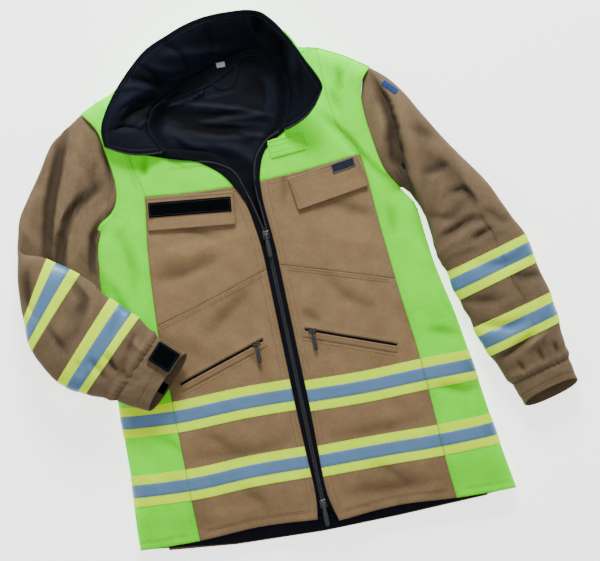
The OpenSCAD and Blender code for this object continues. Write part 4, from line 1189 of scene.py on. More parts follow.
def tube_pieces(P, tone, names):
    """Builds the top and the under half of a sleeve."""
    n = P.shape[1]
    N, flip = outward(P)
    for k, name in enumerate(names):
        a, b = (0, n // 2) if k == 0 else (n // 2, n)
        Q, q = half(P, a, b).copy(), half(tone, a, b)
        M = half(N, a, b)
        w = np.minimum(np.arange(Q.shape[1]), Q.shape[1] - 1 - np.arange(Q.shape[1]))
        Q -= M * (0.55 * np.exp(-((w / 1.1) ** 2)))[None, :, None]
        piece = Piece()
        piece.grid(Q, SHELL_T, flip=flip, tone=q)
        piece.build("cloth_" + name, "coat", [TAN_SLEEVE_SHADED], "shell_tan", [name])
    return N, flip


def rows_at(P, r):
    """The rings of a grid at fractional row numbers."""
    r = np.asarray(r, float)
    i = np.clip(np.floor(r).astype(int), 0, len(P) - 2)
    w = (r - i)[:, None, None]
    return P[i] * (1 - w) + P[i + 1] * w


def sleeve_trim(name, P, N, flip, spans):
    p = Piece()
    for a, b in spans:
        for k, rows, lift in STRIPES:
            r = a + (b - a) * np.array(rows) / TRIM_WIDTH
            Q, M = rows_at(P, r), rows_at(N, r)
            Q = Q + M * (lift + 0.1)
            for e in (0, -1):
                Q[e] -= M[e] * 0.25
            p.grid(Q, TRIM_T, k, closed=True, flip=flip)
            if k == 0:
                for e in (1, -2):
                    out = looped(M[e])
                    thread_yellow.line(looped(Q[e]) + out * 0.12, FINE, out)
    p.build("cloth_" + name, "coat", [YELLOW, SILVER], "reflective_trim", [name])


left_P, left_tone, _ = sleeve(LEFT_ARM, LEFT_ARM_FOLDS, 21)
left_N, left_flip = tube_pieces(left_P, left_tone, ("sleeve_left_top", "sleeve_left_under"))
sleeve_trim("trim_sleeve_left", left_P, left_N, left_flip, ((6 * PER, 7 * PER), (8 * PER, 9 * PER)))
right_P, right_tone, right_s = sleeve(RIGHT_ARM, RIGHT_ARM_FOLDS, 31, low=0.8, flare=0)
right_P[..., 2] = np.minimum(right_P[..., 2], 33.2)
# the upper arm ends in the fold at the elbow, so its tube closes to an edge
fold_run = np.clip((right_s[-1] - right_s) / 24.0, 0, 1)
fold_mid = right_P[..., 2].mean(1, keepdims=True)
fold_height = np.maximum(np.sqrt(1 - (1 - fold_run) ** 2), 0.05)[:, None]
right_P[..., 2] = fold_mid + (right_P[..., 2] - fold_mid) * fold_height
tube_pieces(right_P, right_tone, ("sleeve_right_top", "sleeve_right_under"))
fore_P, fore_tone, _ = sleeve(RIGHT_FOREARM, FOREARM_FOLDS, 41, low=0.8)
fore_N, fore_flip = tube_pieces(fore_P, fore_tone, ("forearm_right_top", "forearm_right_under"))
sleeve_trim("trim_sleeve_right", fore_P, fore_N, fore_flip, ((2 * PER, 3 * PER), (4 * PER, 5 * PER)))

for name, parts in (("sleeve_left_lining", [(LEFT_ARM, 0.72, 0.34)]),
                    ("sleeve_right_lining", [(RIGHT_ARM, 0.72, 0.34), (RIGHT_FOREARM[1:], 0.915, 0.6)])):
    p = Piece()
    for stations, rise_share, height_share in parts:
        st = curve(stations, 5)
        st = st[:-3] if stations is RIGHT_ARM else st
        mid, reach = (st[:, :2] + st[:, 2:4]) / 2, (st[:, :2] - st[:, 2:4]) / 2
        reach *= (1 - 7 / np.linalg.norm(reach, axis=1))[:, None]
        st[:, :2], st[:, 2:4], st[:, 4:6] = mid + reach, mid - reach, st[:, 4:6] * [rise_share, height_share]
        P = ring_points(st, 48)[0]
        N, flip = outward(P)
        p.grid(P, 0.8, closed=True, flip=flip)
    p.build("cloth_" + name, "coat", [LINING], "lining_black", [name])


def cuff(name, stations, tilt, seed):
    """A cuff, gathered where the sleeve runs into it and slanted at the mouth by tilt."""
    P, t, _ = ring_points(curve(stations, 9), 144)
    m = len(P)
    k = np.linspace(0, 1, m)
    axis = P[-1].mean(0) - P[0].mean(0)
    axis /= np.linalg.norm(axis)
    P = P - axis * (tilt * np.sin(t)[None, :] * smooth(k * 1.1)[:, None])[..., None]
    N, flip = outward(P)
    g = 0.9 * np.exp(-k / 0.25)[:, None] * np.sin(t * 30 + 3 * noise(t * 9, 0 * t, 4, seed=seed))
    g = g - 2.6 * np.exp(-((k / 0.2) ** 2))[:, None]
    g = g + 0.8 * noise(P[..., 0], P[..., 1], 22, 15, seed) * smooth(k * 3)[:, None]
    g = g - 0.6 * np.exp(-(((k - 0.72) / 0.03) ** 2))[:, None]
    P = P + N * g[..., None]
    P[..., 2] = np.maximum(P[..., 2], stations[0][4] - stations[0][5] + 0.1)
    p = Piece()
    # outside, turned over at the mouth and back inside
    inner = P[::-1] - N[::-1] * 2.6
    lip = (P[-1] + inner[0])[None] / 2 + axis * 1.3
    loop = np.concatenate([P, lip, inner])
    # painted shade where the sleeve runs in, and on the inside of the turned-back cuff
    p.grid(loop, 0.35, closed=True, flip=flip, tone=np.concatenate([
        (1 - 0.25 * np.exp(-k / 0.05))[:, None] * np.ones(P.shape[:2]), np.ones((1, 144)),
        0.8 * np.ones(P.shape[:2])]))
    p.build("cloth_" + name, "coat", [TAN_SLEEVE_SHADED], "shell_tan", [name])
    for r in (int(m * 0.70), int(m * 0.76)):
        out = looped(N[r])
        thread_tan.line(looped(P[r]) + out * 0.2, FINE, out)


cuff("cuff_left", LEFT_CUFF, 9.0, 51)
cuff("cuff_right", RIGHT_CUFF, 7.0, 52)
# rows of stitching along the left sleeve's lengthwise seam
seam_line = curve([[317, 168], [324, 111], [340, 62], [358, 6], [369, -49], [382, -93], [395, -156], [399, -190]],
                  6)
upper = left_P[:, : left_P.shape[1] // 2 + 1]
flat = upper.reshape(-1, 3)


def on_sleeve(q, points):
    """The height of the sleeve's skin at plan points, from its four nearest points."""
    out = []
    for x, y in q:
        d = (points[:, 0] - x) ** 2 + (points[:, 1] - y) ** 2
        k = np.argsort(d)[:4]
        w = 1 / (d[k] + 0.05)
        out.append(np.sum(points[k, 2] * w) / w.sum())
    return np.array(out)


for d in (2.6, 7.0):
    q = even(offset(seam_line, d), 1.8)
    thread_tan.line(np.column_stack([q, on_sleeve(q, flat) + 0.2]))

# ---- lining and neck ------------------------------------------------------------------------

NECK_SEAM = [[-134, 260, 35], [-150, 298, 35], [-138, 330, 26], [-112, 346, 13], [-77, 364, 9], [-23, 385, 8],
             [20, 395, 8], [54, 390, 11], [80, 365, 23], [86, 325, 34], [78, 288, 35.5], [63, 254, 35.5]]
COLLAR_EDGE = [[-222, 288, 38], [-220, 320, 44], [-188, 368, 54], [-134, 418, 58], [-90, 438, 60], [-45, 452, 61],
               [8, 455, 62], [62, 444, 72], [98, 398, 88], [118, 352, 96], [132, 322, 88], [135, 306, 76]]
seam3 = curve(NECK_SEAM, 8)
NECK_FOLDS = [
    (2.6, 3.0, 0.5, [[-116, 331], [-90, 334], [-62, 340], [-29, 353]]),
    (-1.8, 3.5, 0, [[-112, 340], [-74, 347], [-40, 358]]),
    (-1.6, 5, 0.3, [[-118, 318], [-66, 306], [-10, 300], [34, 296]]),
    (1.5, 4, 0.4, [[-110, 306], [-50, 294], [14, 288], [40, 290]]),
    (-1.7, 4, 0.2, [[-96, 292], [-40, 280], [20, 272]]), (1.3, 5, 0.2, [[-84, 276], [-30, 262], [10, 254]]),
    (2.0, 4, 0.5, [[48, 348], [56, 324], [52, 296]]), (-1.9, 4, 0.3, [[32, 352], [42, 326], [38, 300]]),
    (2.6, 6, 0.5, [[-107, 337], [-18, 309], [47, 283]]), (1.6, 5, 0.4, [[-83, 297], [36, 269]]),
    (1.6, 5, 0.3, [[-9, 266], [34, 250]]), (3.2, 10, 0, [[-126, 300], [-96, 270], [-60, 250]]),
    (-2.4, 8, 0, [[-118, 322], [-60, 286], [0, 262]]), (3.4, 10, -0.2, [[62, 352], [48, 312], [40, 272]]),
    (2.6, 9, 0, [[-70, 262], [-20, 240], [6, 206]]), (2.2, 8, 0, [[30, 262], [12, 226], [2, 180]]),
    (1.5, 9, 0, [[-60, 340], [-10, 350], [30, 352]]),
]


def bowl(X, Y):
    """The lining seen in the neck, which climbs to the collar seam."""
    d, _, u = distance(X, Y, seam3)
    z_seam = np.interp(u, np.linspace(0, 1, len(seam3)), seam3[:, 2])
    width = 5 + 0.42 * np.maximum(z_seam - 8, 0)
    f = 1.9 * folds(X, Y, NECK_FOLDS) + 0.9 * (1 + noise(X, Y, 40, 28, 61)) + 0.45 * noise(X, Y, 13, 17, 62)
    calm = smooth((Y - 252) / 10 + 0.5)
    f = np.where(Y > 372, f * 0.3, f)
    near = np.exp(-((d / width) ** 2))
    z = 4.9 + np.clip(f, -0.5, 7) + (z_seam - 6.1) * near * calm
    z = np.where((Y > 334) & (np.abs(X + 15) < 36), np.minimum(z, 5.0), z)
    return z, np.clip(f, -4, 6)


neck_poly = np.vstack([seam3[:, :2], [[20, 150], [0, 108], [-22, 150], [-110, 236]]])
p = Piece()
# painted highlights on the neck lining's ridges and painted shade in its valleys
cloth(p, neck_poly[::-1], surface=bowl, t=0.9, drop=0.0, step=3.4,
      tones=lambda f: np.clip(0.42 + 0.17 * f, 0.12, 1.5))
lining_poly = np.vstack([
    (np.array(rise(SIDE_R, -340, 150)) + [6, 0])[::-1],
    [[-294, -358], [-150, -378], [-8, -386.5], [115, -387], [298, -383]],
    np.array(rise(SIDE_L, -370, 120)) - [6, 0], ARMHOLE_L - [6, 0],
    [[170, 344], [141, 362], [92, 360], [92, 325], [84, 288], [68, 254], [24, 150], [0, 104], [-26, 150],
     [-114, 234],
     [-140, 258], [-156, 298], [-150, 342], [-186, 364], [-222, 350]],
    [q for q in (ARMHOLE_R + [7, 0])[::-1] if q[1] < 338]])


def low_lining(X, Y):
    z = back(X, Y) + 1.3 + 0.5 * (1 + noise(X, Y, 50, 36, 63))
    hem = 2.2 * smooth((40 - (Y + 366)) / 40) * (1 + noise(X, Y, 26, 60, 64))
    return z + hem, 0 * X


cloth(p, lining_poly, surface=low_lining, t=0.9, drop=0.0, step=7, rows=(1.5, 4.5))
# beside the neck the lining stands up to the shoulder seam
for path in ([[-212, 346], [-192, 350], [-174, 342], [-160, 326], [-153, 304]],
             [[91, 304], [97, 330], [112, 350], [132, 355], [160, 347], [186, 334]]):
    stand(p, path, lambda x, y: low_lining(x, y)[0] + 0.2, 2.6)
# the facing round the back of the neck, with its bound edge
face_in = curve([[-118, 338], [-76, 344], [-35, 353], [12, 376], [26, 383], [46, 380]], 8)
q = even(face_in, 3.5)
z = bowl(q[:, 0], q[:, 1])[0]
p.add(*rod(np.column_stack([q, z + 0.5]), 1.3, 8))
p.build("cloth_back_lining", "coat", [LINING], "lining_black", ["back_lining"])
thread_dark.over(offset(face_in, 3.0), 0.4, surface=lambda X, Y: bowl(X, Y)[0])


def inner_front(X, Y):
    return np.maximum(top(X, Y) - 4.9, 9.0), 0 * X


for name, poly in (
        ("front_right_lining", np.vstack([
            np.array(rise(SIDE_R, -345, 150)) + [7, 0], [q for q in ARMHOLE_R[::-1] + [6, 0] if q[1] < 330][::-1],
            [[-222, 350], [-186, 364], [-176, 360], [-172, 335], [-162, 300], [-144, 268], [-104, 255]],
            (np.array(rise(EDGE_R, -345, 245)) - [13, 0])[::-1],
            [[-26, -356], [-108, -350], [-206, -351], [-294, -347]]])),
        ("front_left_lining", np.vstack([
            np.array(rise(EDGE_L, -350, 240)) + [13, 0],
            [[70, 262], [94, 290], [108, 330], [118, 364], [141, 364], [178, 343], [200, 326]],
            [q for q in (ARMHOLE_L - [6, 0])[::-1] if q[1] < 316],
            (np.array(rise(SIDE_L, -365, 121)) - [7, 0])[::-1],
            [[212, -370], [119, -362], [34, -366]]]))):
    p = Piece()
    cloth(p, poly, surface=inner_front, t=0.8, drop=0.0, step=8, rows=(1.5, 5.0))
    p.build("cloth_" + name, "coat", [LINING], "lining_black", [name])


def behind_zip(X, Y):
    return 23.4 + 0.2 * noise(X, Y, 30, 50, 65), 0 * X


p = Piece()
cloth(p, [[-16, -366], [21, -366], [21, 92], [-16, 92]], surface=behind_zip, t=1.1, drop=0.2, step=8, rows=(1.5, 5))
p.build("cloth_storm_flap", "coat", [LINING], "lining_black", ["storm_flap"])

# ---- collar -----------------------------------------------------------------------------------

# the seam and edge points stay paired as in the CAD
spans = len(NECK_SEAM) - 1
k = np.linspace(0, spans, 261)
a3, b3 = (np.stack([np.interp(k, np.linspace(0, spans, 20 * spans + 1), axis) for axis in curve(line, 20).T], 1)
          for line in (NECK_SEAM, COLLAR_EDGE))
v = np.linspace(0, 1, 34)
C = a3[:, None] * (1 - v)[None, :, None] + b3[:, None] * v[None, :, None]
C[..., 2] += 7 * 4 * v * (1 - v)
# both front edges belly out a little between their ends
for order, way in ((np.arange(len(C)), (-0.30, -0.95, 0)), (np.arange(len(C))[::-1], (0.58, -0.81, 0))):
    reach = (8.0 if way[0] < 0 else 12.0) * np.exp(-((order / 15) ** 2))
    C += reach[:, None, None] * np.sin(np.pi * v)[None, :, None] * np.array(way)
along = np.concatenate([[0], np.cumsum(np.linalg.norm(np.diff(C[:, 17], axis=0), axis=1))])[:, None] + 0 * v
height = np.cumsum(np.linalg.norm(np.diff(C, axis=1, prepend=C[:, :1]), axis=2), 1)
# the foot of the collar reaches down past the neck lining's edge
C[:, 0, 2], C[:, 1, 2] = np.maximum(C[:, 0, 2] - 4.0, 3.4), np.maximum(C[:, 1, 2] - 1.6, 4.4)
CN = normals(C.reshape(-1, 3), grid_faces(*C.shape[:2])).reshape(C.shape)
if CN[130, 17, 2] < 0:
    CN = -CN
COLLAR_FOLDS = [
    (2.0, 3, 0.5, [[-192, 330], [-166, 346], [-132, 352]]), (-1.8, 3, 0.2, [[-188, 322], [-160, 334], [-126, 338]]),
    (2.2, 3, 0.5, [[-166, 306], [-146, 316], [-124, 312]]),
    (-2.6, 3.5, 0.4, [[56, 442], [58, 418], [74, 400], [92, 388]]),
    (2.2, 3.5, 0.4, [[46, 440], [48, 416], [62, 396], [70, 374]]),
    (-2.0, 4, 0.3, [[-60, 404], [-20, 398], [20, 396]]),
    (1.8, 3.5, 0.4, [[-106, 372], [-60, 378], [-10, 392]]), (-2.0, 4, 0.3, [[-142, 404], [-120, 386], [-112, 366]]),
    (1.7, 4, 0, [[-176, 372], [-150, 370], [-126, 360]]), (-1.8, 4, 0.4, [[-210, 312], [-184, 312], [-160, 302]]),
    (3.4, 10, 0.2, [[-112, 412], [-34, 402], [28, 398]]), (-3.2, 6, 0.3, [[-182, 338], [-152, 348], [-119, 343]]),
    (-2.6, 6, 0, [[-154, 324], [-138, 318], [-112, 311]]),
    (-3.6, 8, 0.3, [[66, 438], [60, 414], [78, 392], [84, 362]]),
    (-2.4, 8, 0, [[-196, 310], [-168, 326], [-140, 336]]), (2.6, 9, 0, [[-206, 328], [-170, 354], [-128, 366]]),
    (-2.4, 7, 0.2, [[-160, 386], [-128, 372], [-96, 366]]), (2.0, 8, 0, [[-140, 402], [-104, 388], [-60, 386]]),
    (-2.0, 6, 0, [[-98, 430], [-70, 402], [-62, 380]]), (-1.8, 7, 0, [[-30, 440], [-20, 416], [-26, 396]]),
    (-2.0, 6, 0, [[112, 352], [104, 330], [96, 300]]), (2.0, 8, 0, [[100, 378], [98, 340], [90, 300]]),
]
f = 1.8 * folds(C[..., 0], C[..., 1], COLLAR_FOLDS)
free = smooth(v / 0.25)[None, :]
f = f * (0.35 + 0.65 * free) + 1.3 * noise(along, height, 62, 90, 71) * free + 0.55 * noise(along + 0.4 * height,
        height, 22, 34, 72)
f = f + 0.22 * noise(along, height, 9, 9, 73)
end = np.minimum(along, along[-1] - along)
f = f * (0.3 + 0.7 * smooth(end / 30))
# topstitched channel along the free edge and along both front edges
rim_d = np.minimum((height[:, -1:] - height), end)
f = f - 0.7 * np.exp(-(((rim_d - 9) / 1.8) ** 2)) + 0.5 * np.exp(-(((rim_d - 4.5) / 3) ** 2))
C = C + CN * f[..., None]
CN = normals(C.reshape(-1, 3), grid_faces(*C.shape[:2])).reshape(C.shape)
flipped = CN[130, 17, 2] < 0
CN = -CN if flipped else CN
# painted highlights on the collar's ridges and painted shade in its valleys
tone = np.clip(0.95 + 0.17 * f, 0.3, 2.0)
p = Piece()
p.grid(C + CN * 1.2, 1.2, flip=flipped, tone=tone, bulge=0.55)
# a bound edge round the free side
rim = np.vstack([C[0, 2:-1], C[:, -1], C[-1, 2:-1][::-1]])
rimN = np.vstack([CN[0, 2:-1], CN[:, -1], CN[-1, 2:-1][::-1]])
p.add(*rod(even(rim + rimN * 0.5, 2.0), 1.55, 10))
p.build("cloth_collar_lining", "coat", [LINING], "lining_black", ["collar_lining"])
p = Piece()
p.grid(C - CN * 0.05, 1.5, flip=flipped, bulge=0.5)
# the shell shows past the lining along the left end of the free edge
tip, back_from_tip = C[186:258, -1], C[186:258, -1] - C[186:258, -3]
lip = tip + 1.7 * back_from_tip / np.linalg.norm(back_from_tip, axis=1)[:, None]
p.add(*rod(even(lip - CN[186:258, -1] * 0.6, 2.0), 1.5, 10))
p.build("cloth_collar_shell", "coat", [LIME], "shell_lime", ["collar_shell"])
for d in (9.0, 7.6):
    pts, ups = [], []
    for i in range(3, len(C) - 3):
        j = int(np.argmin(np.abs(height[i, -1] - height[i] - d)))
        pts.append(C[i, j] + CN[i, j] * 1.45)
        ups.append(CN[i, j])
    thread_dark.line(pts, up=np.array(ups))
for i in (6, len(C) - 7):
    thread_dark.line(C[i, 2:-4] + CN[i, 2:-4] * 1.45, up=CN[i, 2:-4])

# ---- zips -----------------------------------------------------------------------------------

TOOTH_PITCH = 3.2


def tooth(w=2.9, l=1.75, h=1.95):
    """One moulded tooth: a head across the gap and a waist on the tape."""
    V1, F1 = block(-w * 0.18, 0, 0, w * 0.62, l, h, 0.42, 2)
    V2, F2 = block(w * 0.28, 0, -0.08, w * 0.5, l * 0.72, h * 0.82, 0.3, 1)
    return np.vstack([V1, V2]), np.vstack([F1, F2 + len(V1)])


def teeth(piece, line, side, pitch, phase, shape=None):
    """Teeth along a 3-D line; side is the direction in plan of the tape, -1 left or 1 right of travel."""
    V, F = shape or tooth()
    q = even(line, pitch / 2)[phase::2]
    g = np.gradient(q, axis=0)
    g /= np.maximum(np.linalg.norm(g, axis=1, keepdims=True), 1e-9)
    up = np.array([0, 0, 1.0]) - g * g[:, 2:3]
    up /= np.linalg.norm(up, axis=1, keepdims=True)
    x = np.cross(g, up) * side
    W = (q[:, None] + V[None, :, 0:1] * x[:, None] + V[None, :, 1:2] * g[:, None] + V[None, :, 2:3] * up[:, None])
    k = np.arange(len(q))[:, None, None] * len(V)
    piece.add(W.reshape(-1, 3), (F[None] + k).reshape(-1, 3))


OPEN = {
    -1: curve([[-0.3, -362, 28.8], [-0.3, -120, 28.8], [-0.3, 60, 28.8], [-0.4, 98, 28.8], [-3, 118, 28.8],
               [-9, 146, 28.8], [-16.5, 174, 29], [-24.5, 200, 29.4], [-37, 216, 30], [-64, 231, 31.2],
               [-98, 238, 33.5], [-129, 248, 37]], 8),
    1: curve([[0.3, -362, 28.8], [0.3, -120, 28.8], [0.3, 60, 28.8], [0.4, 98, 28.8], [0.8, 118, 28.8],
              [-1, 146, 28.8], [-2, 170, 29], [1, 199, 29.4], [10, 224, 30], [31, 246, 32], [54, 256, 35.5]], 8)}
# the turned-back tape round the neck opening: its inner and outer sides
EDGE_BANDS = {
    -1: ([[-14.5, 140], [-18, 166], [-23, 186], [-33, 214], [-57, 241], [-95, 255], [-126, 264], [-150, 270],
          [-178, 278]],
         [[-15.5, 140], [-25.5, 164], [-35, 184], [-52, 209], [-82, 233], [-109, 242], [-134, 250.5], [-154, 258],
          [-181, 268]]),
    1: ([[3, 150], [0, 178], [0, 198], [6, 222], [26, 245], [50, 257], [74, 266]],
        [[4, 150], [7, 178], [12, 200], [22, 224], [38, 241], [60, 252], [84, 262]])}
for side, name in ((-1, "right"), (1, "left")):
    line = OPEN[side]
    line[:, 2] = np.maximum(line[:, 2], 28.85)
    away = offset(line, -side)[:, :2] - line[:, :2]
    wide = (1 - 0.74 * smooth((line[:, 1] - 190) / 30))[:, None]
    P = np.stack([np.column_stack([line[:, :2] + away * (d if d < 2 else 1.2 + (d - 1.2) * wide), line[:, 2]])
                  for d in (0.0, 0.6, 1.2, 5, 10, 15, 19.5)])
    under = np.where(line[:, 1] < 250, 27.2, line[:, 2] - 1.0)
    P[3:, :, 2] = np.minimum(P[3:, :, 2], under)
    P[2, :, 2] = np.minimum(P[2, :, 2], under + 1.4)
    P[1, :, 2] += 0.35
    P = P[:, line[:, 1] < 214]
    p = Piece()
    p.grid(P, 0.75, flip=side > 0)
    ribbon = EDGE_BANDS[side]
    ends = [curve(row, 10) for row in ribbon]
    R = np.stack([ends[0] * (1 - k) + ends[1] * k for k in np.linspace(0, 1, 6)])
    crown = 0.5 * np.sin(np.linspace(0, np.pi, 6))[:, None]
    R = np.concatenate([R, (top(R[..., 0], R[..., 1]) + 1.7 + crown)[..., None]], 2)
    R_n = np.cross(R[1, 0] - R[0, 0], R[0, 1] - R[0, 0])
    p.grid(R, 0.8, flip=R_n[2] < 0)
    # the tape goes on along the collar's front edge
    i0 = 0 if side < 0 else len(C) - 1
    G = np.stack([C[i] + CN[i] * 1.75 for i in (i0 - side * k for k in range(6))])[:, 1:-1]
    g_n = np.cross(G[1, 0] - G[0, 0], G[0, 1] - G[0, 0])
    p.grid(G, 0.5, flip=g_n[2] < 0)
    p.build("zip_tape_" + name + "_cloth", "coat", [TAPE], "zip_tape", ["zip_tape_" + name])
    p = Piece()
    q = line.copy()
    q[:, :2] = offset(line, -side * 1.5)[:, :2]
    q = q[q[:, 1] > -356]
    q[:, 2] += (np.maximum(q[:, 2], top(q[:, 0], q[:, 1]) + 2.0) - q[:, 2]) * smooth((q[:, 1] - 176) / 20)
    teeth(p, q + [0, 0, 1.03], side, TOOTH_PITCH, 0 if side < 0 else 1)
    g = even(C[i0, 1:-1] + CN[i0, 1:-1] * 2.0, TOOTH_PITCH)
    teeth(p, g + [0, 0, 0.35], side, TOOTH_PITCH, 0)
    p.build("zip_teeth_" + name + "_moulded", "coat", [TEETH], "zip_teeth", ["zip_teeth_" + name])

BASE_Z = 29.4


def slider_body(w=11.0, l=15.0, wing=4.85):
    p = Piece()
    z1 = BASE_Z + 2.6
    # a top plate that is wider at the shoulder, two wings, and a crown over the pin
    outline = curve([[0, -l / 2], [w * 0.30, -l / 2], [w * 0.40, -l * 0.30], [w * 0.47, 0.08 * l],
                     [w * 0.5, l * 0.32],
                     [w * 0.42, l * 0.46], [w * 0.16, l * 0.5], [0, l * 0.42]], 5)
    outline = np.vstack([outline, (outline * [-1, 1])[::-1][1:-1]])
    P, T, d = fill(outline, step=1.1, rows=(0.25, 0.7))
    z = z1 + 1.3 - 0.9 * np.exp(-((d / 0.55) ** 2))
    p.sheet(np.column_stack([P, z]), T, 1.05, 0, bulge=0.3)
    for s in (-1, 1):
        p.add(*block(s * wing, 0.3, BASE_Z + 1.4, 1.1, l * 0.86, 2.7, 0.35))
    crown = [[0, -4.6, z1 + 1.0], [0, -4.2, z1 + 2.6], [0, -2.4, z1 + 4.55], [0, 0, z1 + 5.1], [0, 2.4, z1 + 4.55],
             [0, 4.2, z1 + 2.6], [0, 4.6, z1 + 1.0]]
    for s in (-1, 1):
        p.add(*rod(curve(np.array(crown) + [s * 3.35, 0, 0], 4), 0.72, 8))
    p.add(*rod([[-3.9, 0, z1 + 3.4], [3.9, 0, z1 + 3.4]], 0.78, 12))
    return p


def pull_tab(length, width):
    """A wire link on the pin and a moulded grip, lying along -Y from the pin."""
    p = Piece()
    t = np.linspace(0, 2 * math.pi, 33)[:-1]
    w, l = 2.0, 5.4
    link = np.column_stack([w * np.sign(np.cos(t)) * np.abs(np.cos(t)) ** 0.6,
                            -4.0 + l * np.sign(np.sin(t)) * np.abs(np.sin(t)) ** 0.8, 0 * t - 0.1])
    p.add(*rod(link, 0.62, 8, close=True))
    tab = curve([[0, -7.6], [width * 0.28, -7.6], [width * 0.36, -9.2], [width * 0.5, -13],
                 [width * 0.5, -length + 5],
                 [width * 0.42, -length + 1.6], [width * 0.18, -length], [0, -length]], 5)
    tab = np.vstack([tab, (tab * [-1, 1])[::-1][1:-1]])
    P, T, d = fill(tab, step=0.9, rows=(0.3, 0.8))
    grip = (P[:, 1] < -14) * (P[:, 1] > -length + 5)
    ridge = 0.22 * (0.5 + 0.5 * np.cos((P[:, 1] + 16) * 2 * math.pi / 2.2)) * smooth((d - 0.9) / 0.5) * grip
    z = 0.62 - 0.75 * np.exp(-((d / 0.5) ** 2)) + ridge
    p.sheet(np.column_stack([P, z]), T, 1.9, 1, bulge=0.3)
    return p


def local(x, y, z, degrees=0.0):
    return Matrix.Translation((x, y, z)) @ Matrix.Rotation(math.radians(degrees), 4, "Z")


for name, y in (("upper", 96.0), ("lower", -344.0)):
    slider_body().build("slider_" + name + "_enamel", "slider_" + name, [ENAMEL], "zip_metal", ["slider_" + name],
                        matrix=local(0, y, 0))
    pull_tab(36, 7).build("pull_" + name + "_grip", "pull_" + name, [ENAMEL, RUBBER], "zip_metal", ["pull_" + name],
                          matrix=local(0, y, 35.4))


def pocket_tape(X, Y):
    return 28.8 + 0.1 * noise(X, Y, 20, seed=81), 0 * X


def bag(X, Y):
    return top(X, Y) - 1.9, 0 * X


for side in ("right", "left"):
    (px, py), turn = POCKETS[side]
    p = Piece()
    q = placed((px, py), turn, [[-7, -9.5], [147, -9.5], [147, 9.5], [-7, 9.5]])
    cloth(p, q, surface=pocket_tape, t=0.8, drop=0.0, step=5, rows=(1, 3))
    line = np.column_stack([placed((px, py), turn, [[-2, 0], [141, 0]]), [29.9, 29.9]])
    small = tooth(2.0, 1.3, 1.6)
    off = placed((0, 0), turn, [[0, 1.0]])[0]
    for s, ph in ((1, 0), (-1, 1)):
        teeth(p, line + np.append(off * s, 0), -s, 2.4, ph, shape=small)
    p.build("pocket_zip_" + side + "_cloth", "coat", [TAPE], "zip_tape", ["pocket_zip_" + side])
    sx, sy = placed((px, py), turn, [[8, 0]])[0]
    body = slider_body(7.6, 12.5, 1.65)
    body.build("pocket_slider_" + side + "_enamel", "pocket_slider_" + side, [ENAMEL], "zip_metal",
               ["pocket_slider_" + side],
               matrix=local(sx, sy, 0, turn + 90))
    pull_tab(32, 6.2).build("pocket_pull_" + side + "_grip", "pocket_pull_" + side, [ENAMEL, RUBBER], "zip_metal",
                            ["pocket_pull_" + side], matrix=local(sx, sy, 35.4))

for name in ("hand_pocket_bags", "chest_pocket_bags"):
    lo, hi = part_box(name)
    p = Piece()
    for s in (-1, 1):
        x0, x1 = (34, hi.x / MM) if s > 0 else (lo.x / MM, -34)
        y0, y1 = lo.y / MM, hi.y / MM
        poly = [[x0 + 6, y0 + 6], [x1 - 6, y0 + 6], [x1 - 6, y1 - 6], [x0 + 6, y1 - 6]]
        cloth(p, poly, surface=bag, t=1.6, drop=0.0, step=8, rows=(1.5, 4))
    p.build("cloth_" + name, "coat", [LINING], "lining_black", [name])

# ---- flaps, tabs, patches and loop --------------------------------------------------------------


def rounded(x0, y0, x1, y1, r):
    """A rectangle with rounded corners."""
    n, out = 5, []  # n steps round a corner
    for cx, cy, a0 in ((x1 - r, y1 - r, 0), (x0 + r, y1 - r, 90), (x0 + r, y0 + r, 180), (x1 - r, y0 + r, 270)):
        for k in range(n + 1):
            a = math.radians(a0 + 90 * k / n)
            out.append([cx + r * math.cos(a), cy + r * math.sin(a)])
    return out


def patchy(poly, z, t, border=0.0, groove=None, wavy=0.25, seed=91, step=3.0, tilt=None, rows=(0.5, 1.6, 3.4)):
    """A small sewn piece in its own axes: a raised or plain border, a stitched groove, soft waves, and painted shade
    round its edge.
    """
    P, T, d = fill(poly, step=step, rows=rows)
    h = z + wavy * noise(P[:, 0], P[:, 1], 34, 22, seed) + 0.3 * wavy * noise(P[:, 0], P[:, 1], 9, 9, seed + 1)
    h = h - 0.45 * np.exp(-((d / 0.8) ** 2)) + border * (d < 2.2)
    for g in groove or ():
        h = h - 0.28 * np.exp(-(((d - g) / 0.9) ** 2))
    if tilt is not None:
        h = h + tilt(P[:, 0], P[:, 1])
    p = Piece()
    p.sheet(np.column_stack([P, h]), T, t, 0, tone=1 - 0.2 * np.exp(-((d / 0.9) ** 2)))
    return p


def ring_stitch(stitches, poly, inset, z, matrix, pitch=FINE):
    """A row of stitches round a small piece, in that piece's own axes."""
    q = np.array(poly, float)
    r = offset(np.vstack([q[-1:], q, q[:1]]), inset if signed_area(q) > 0 else -inset)[1:-1]
    r = looped(r)
    W = np.column_stack([r, np.full(len(r), z)])
    M = np.array(matrix, float)
    stitches.line(W @ M[:3, :3].T + M[:3, 3], pitch, M[:3, 2])


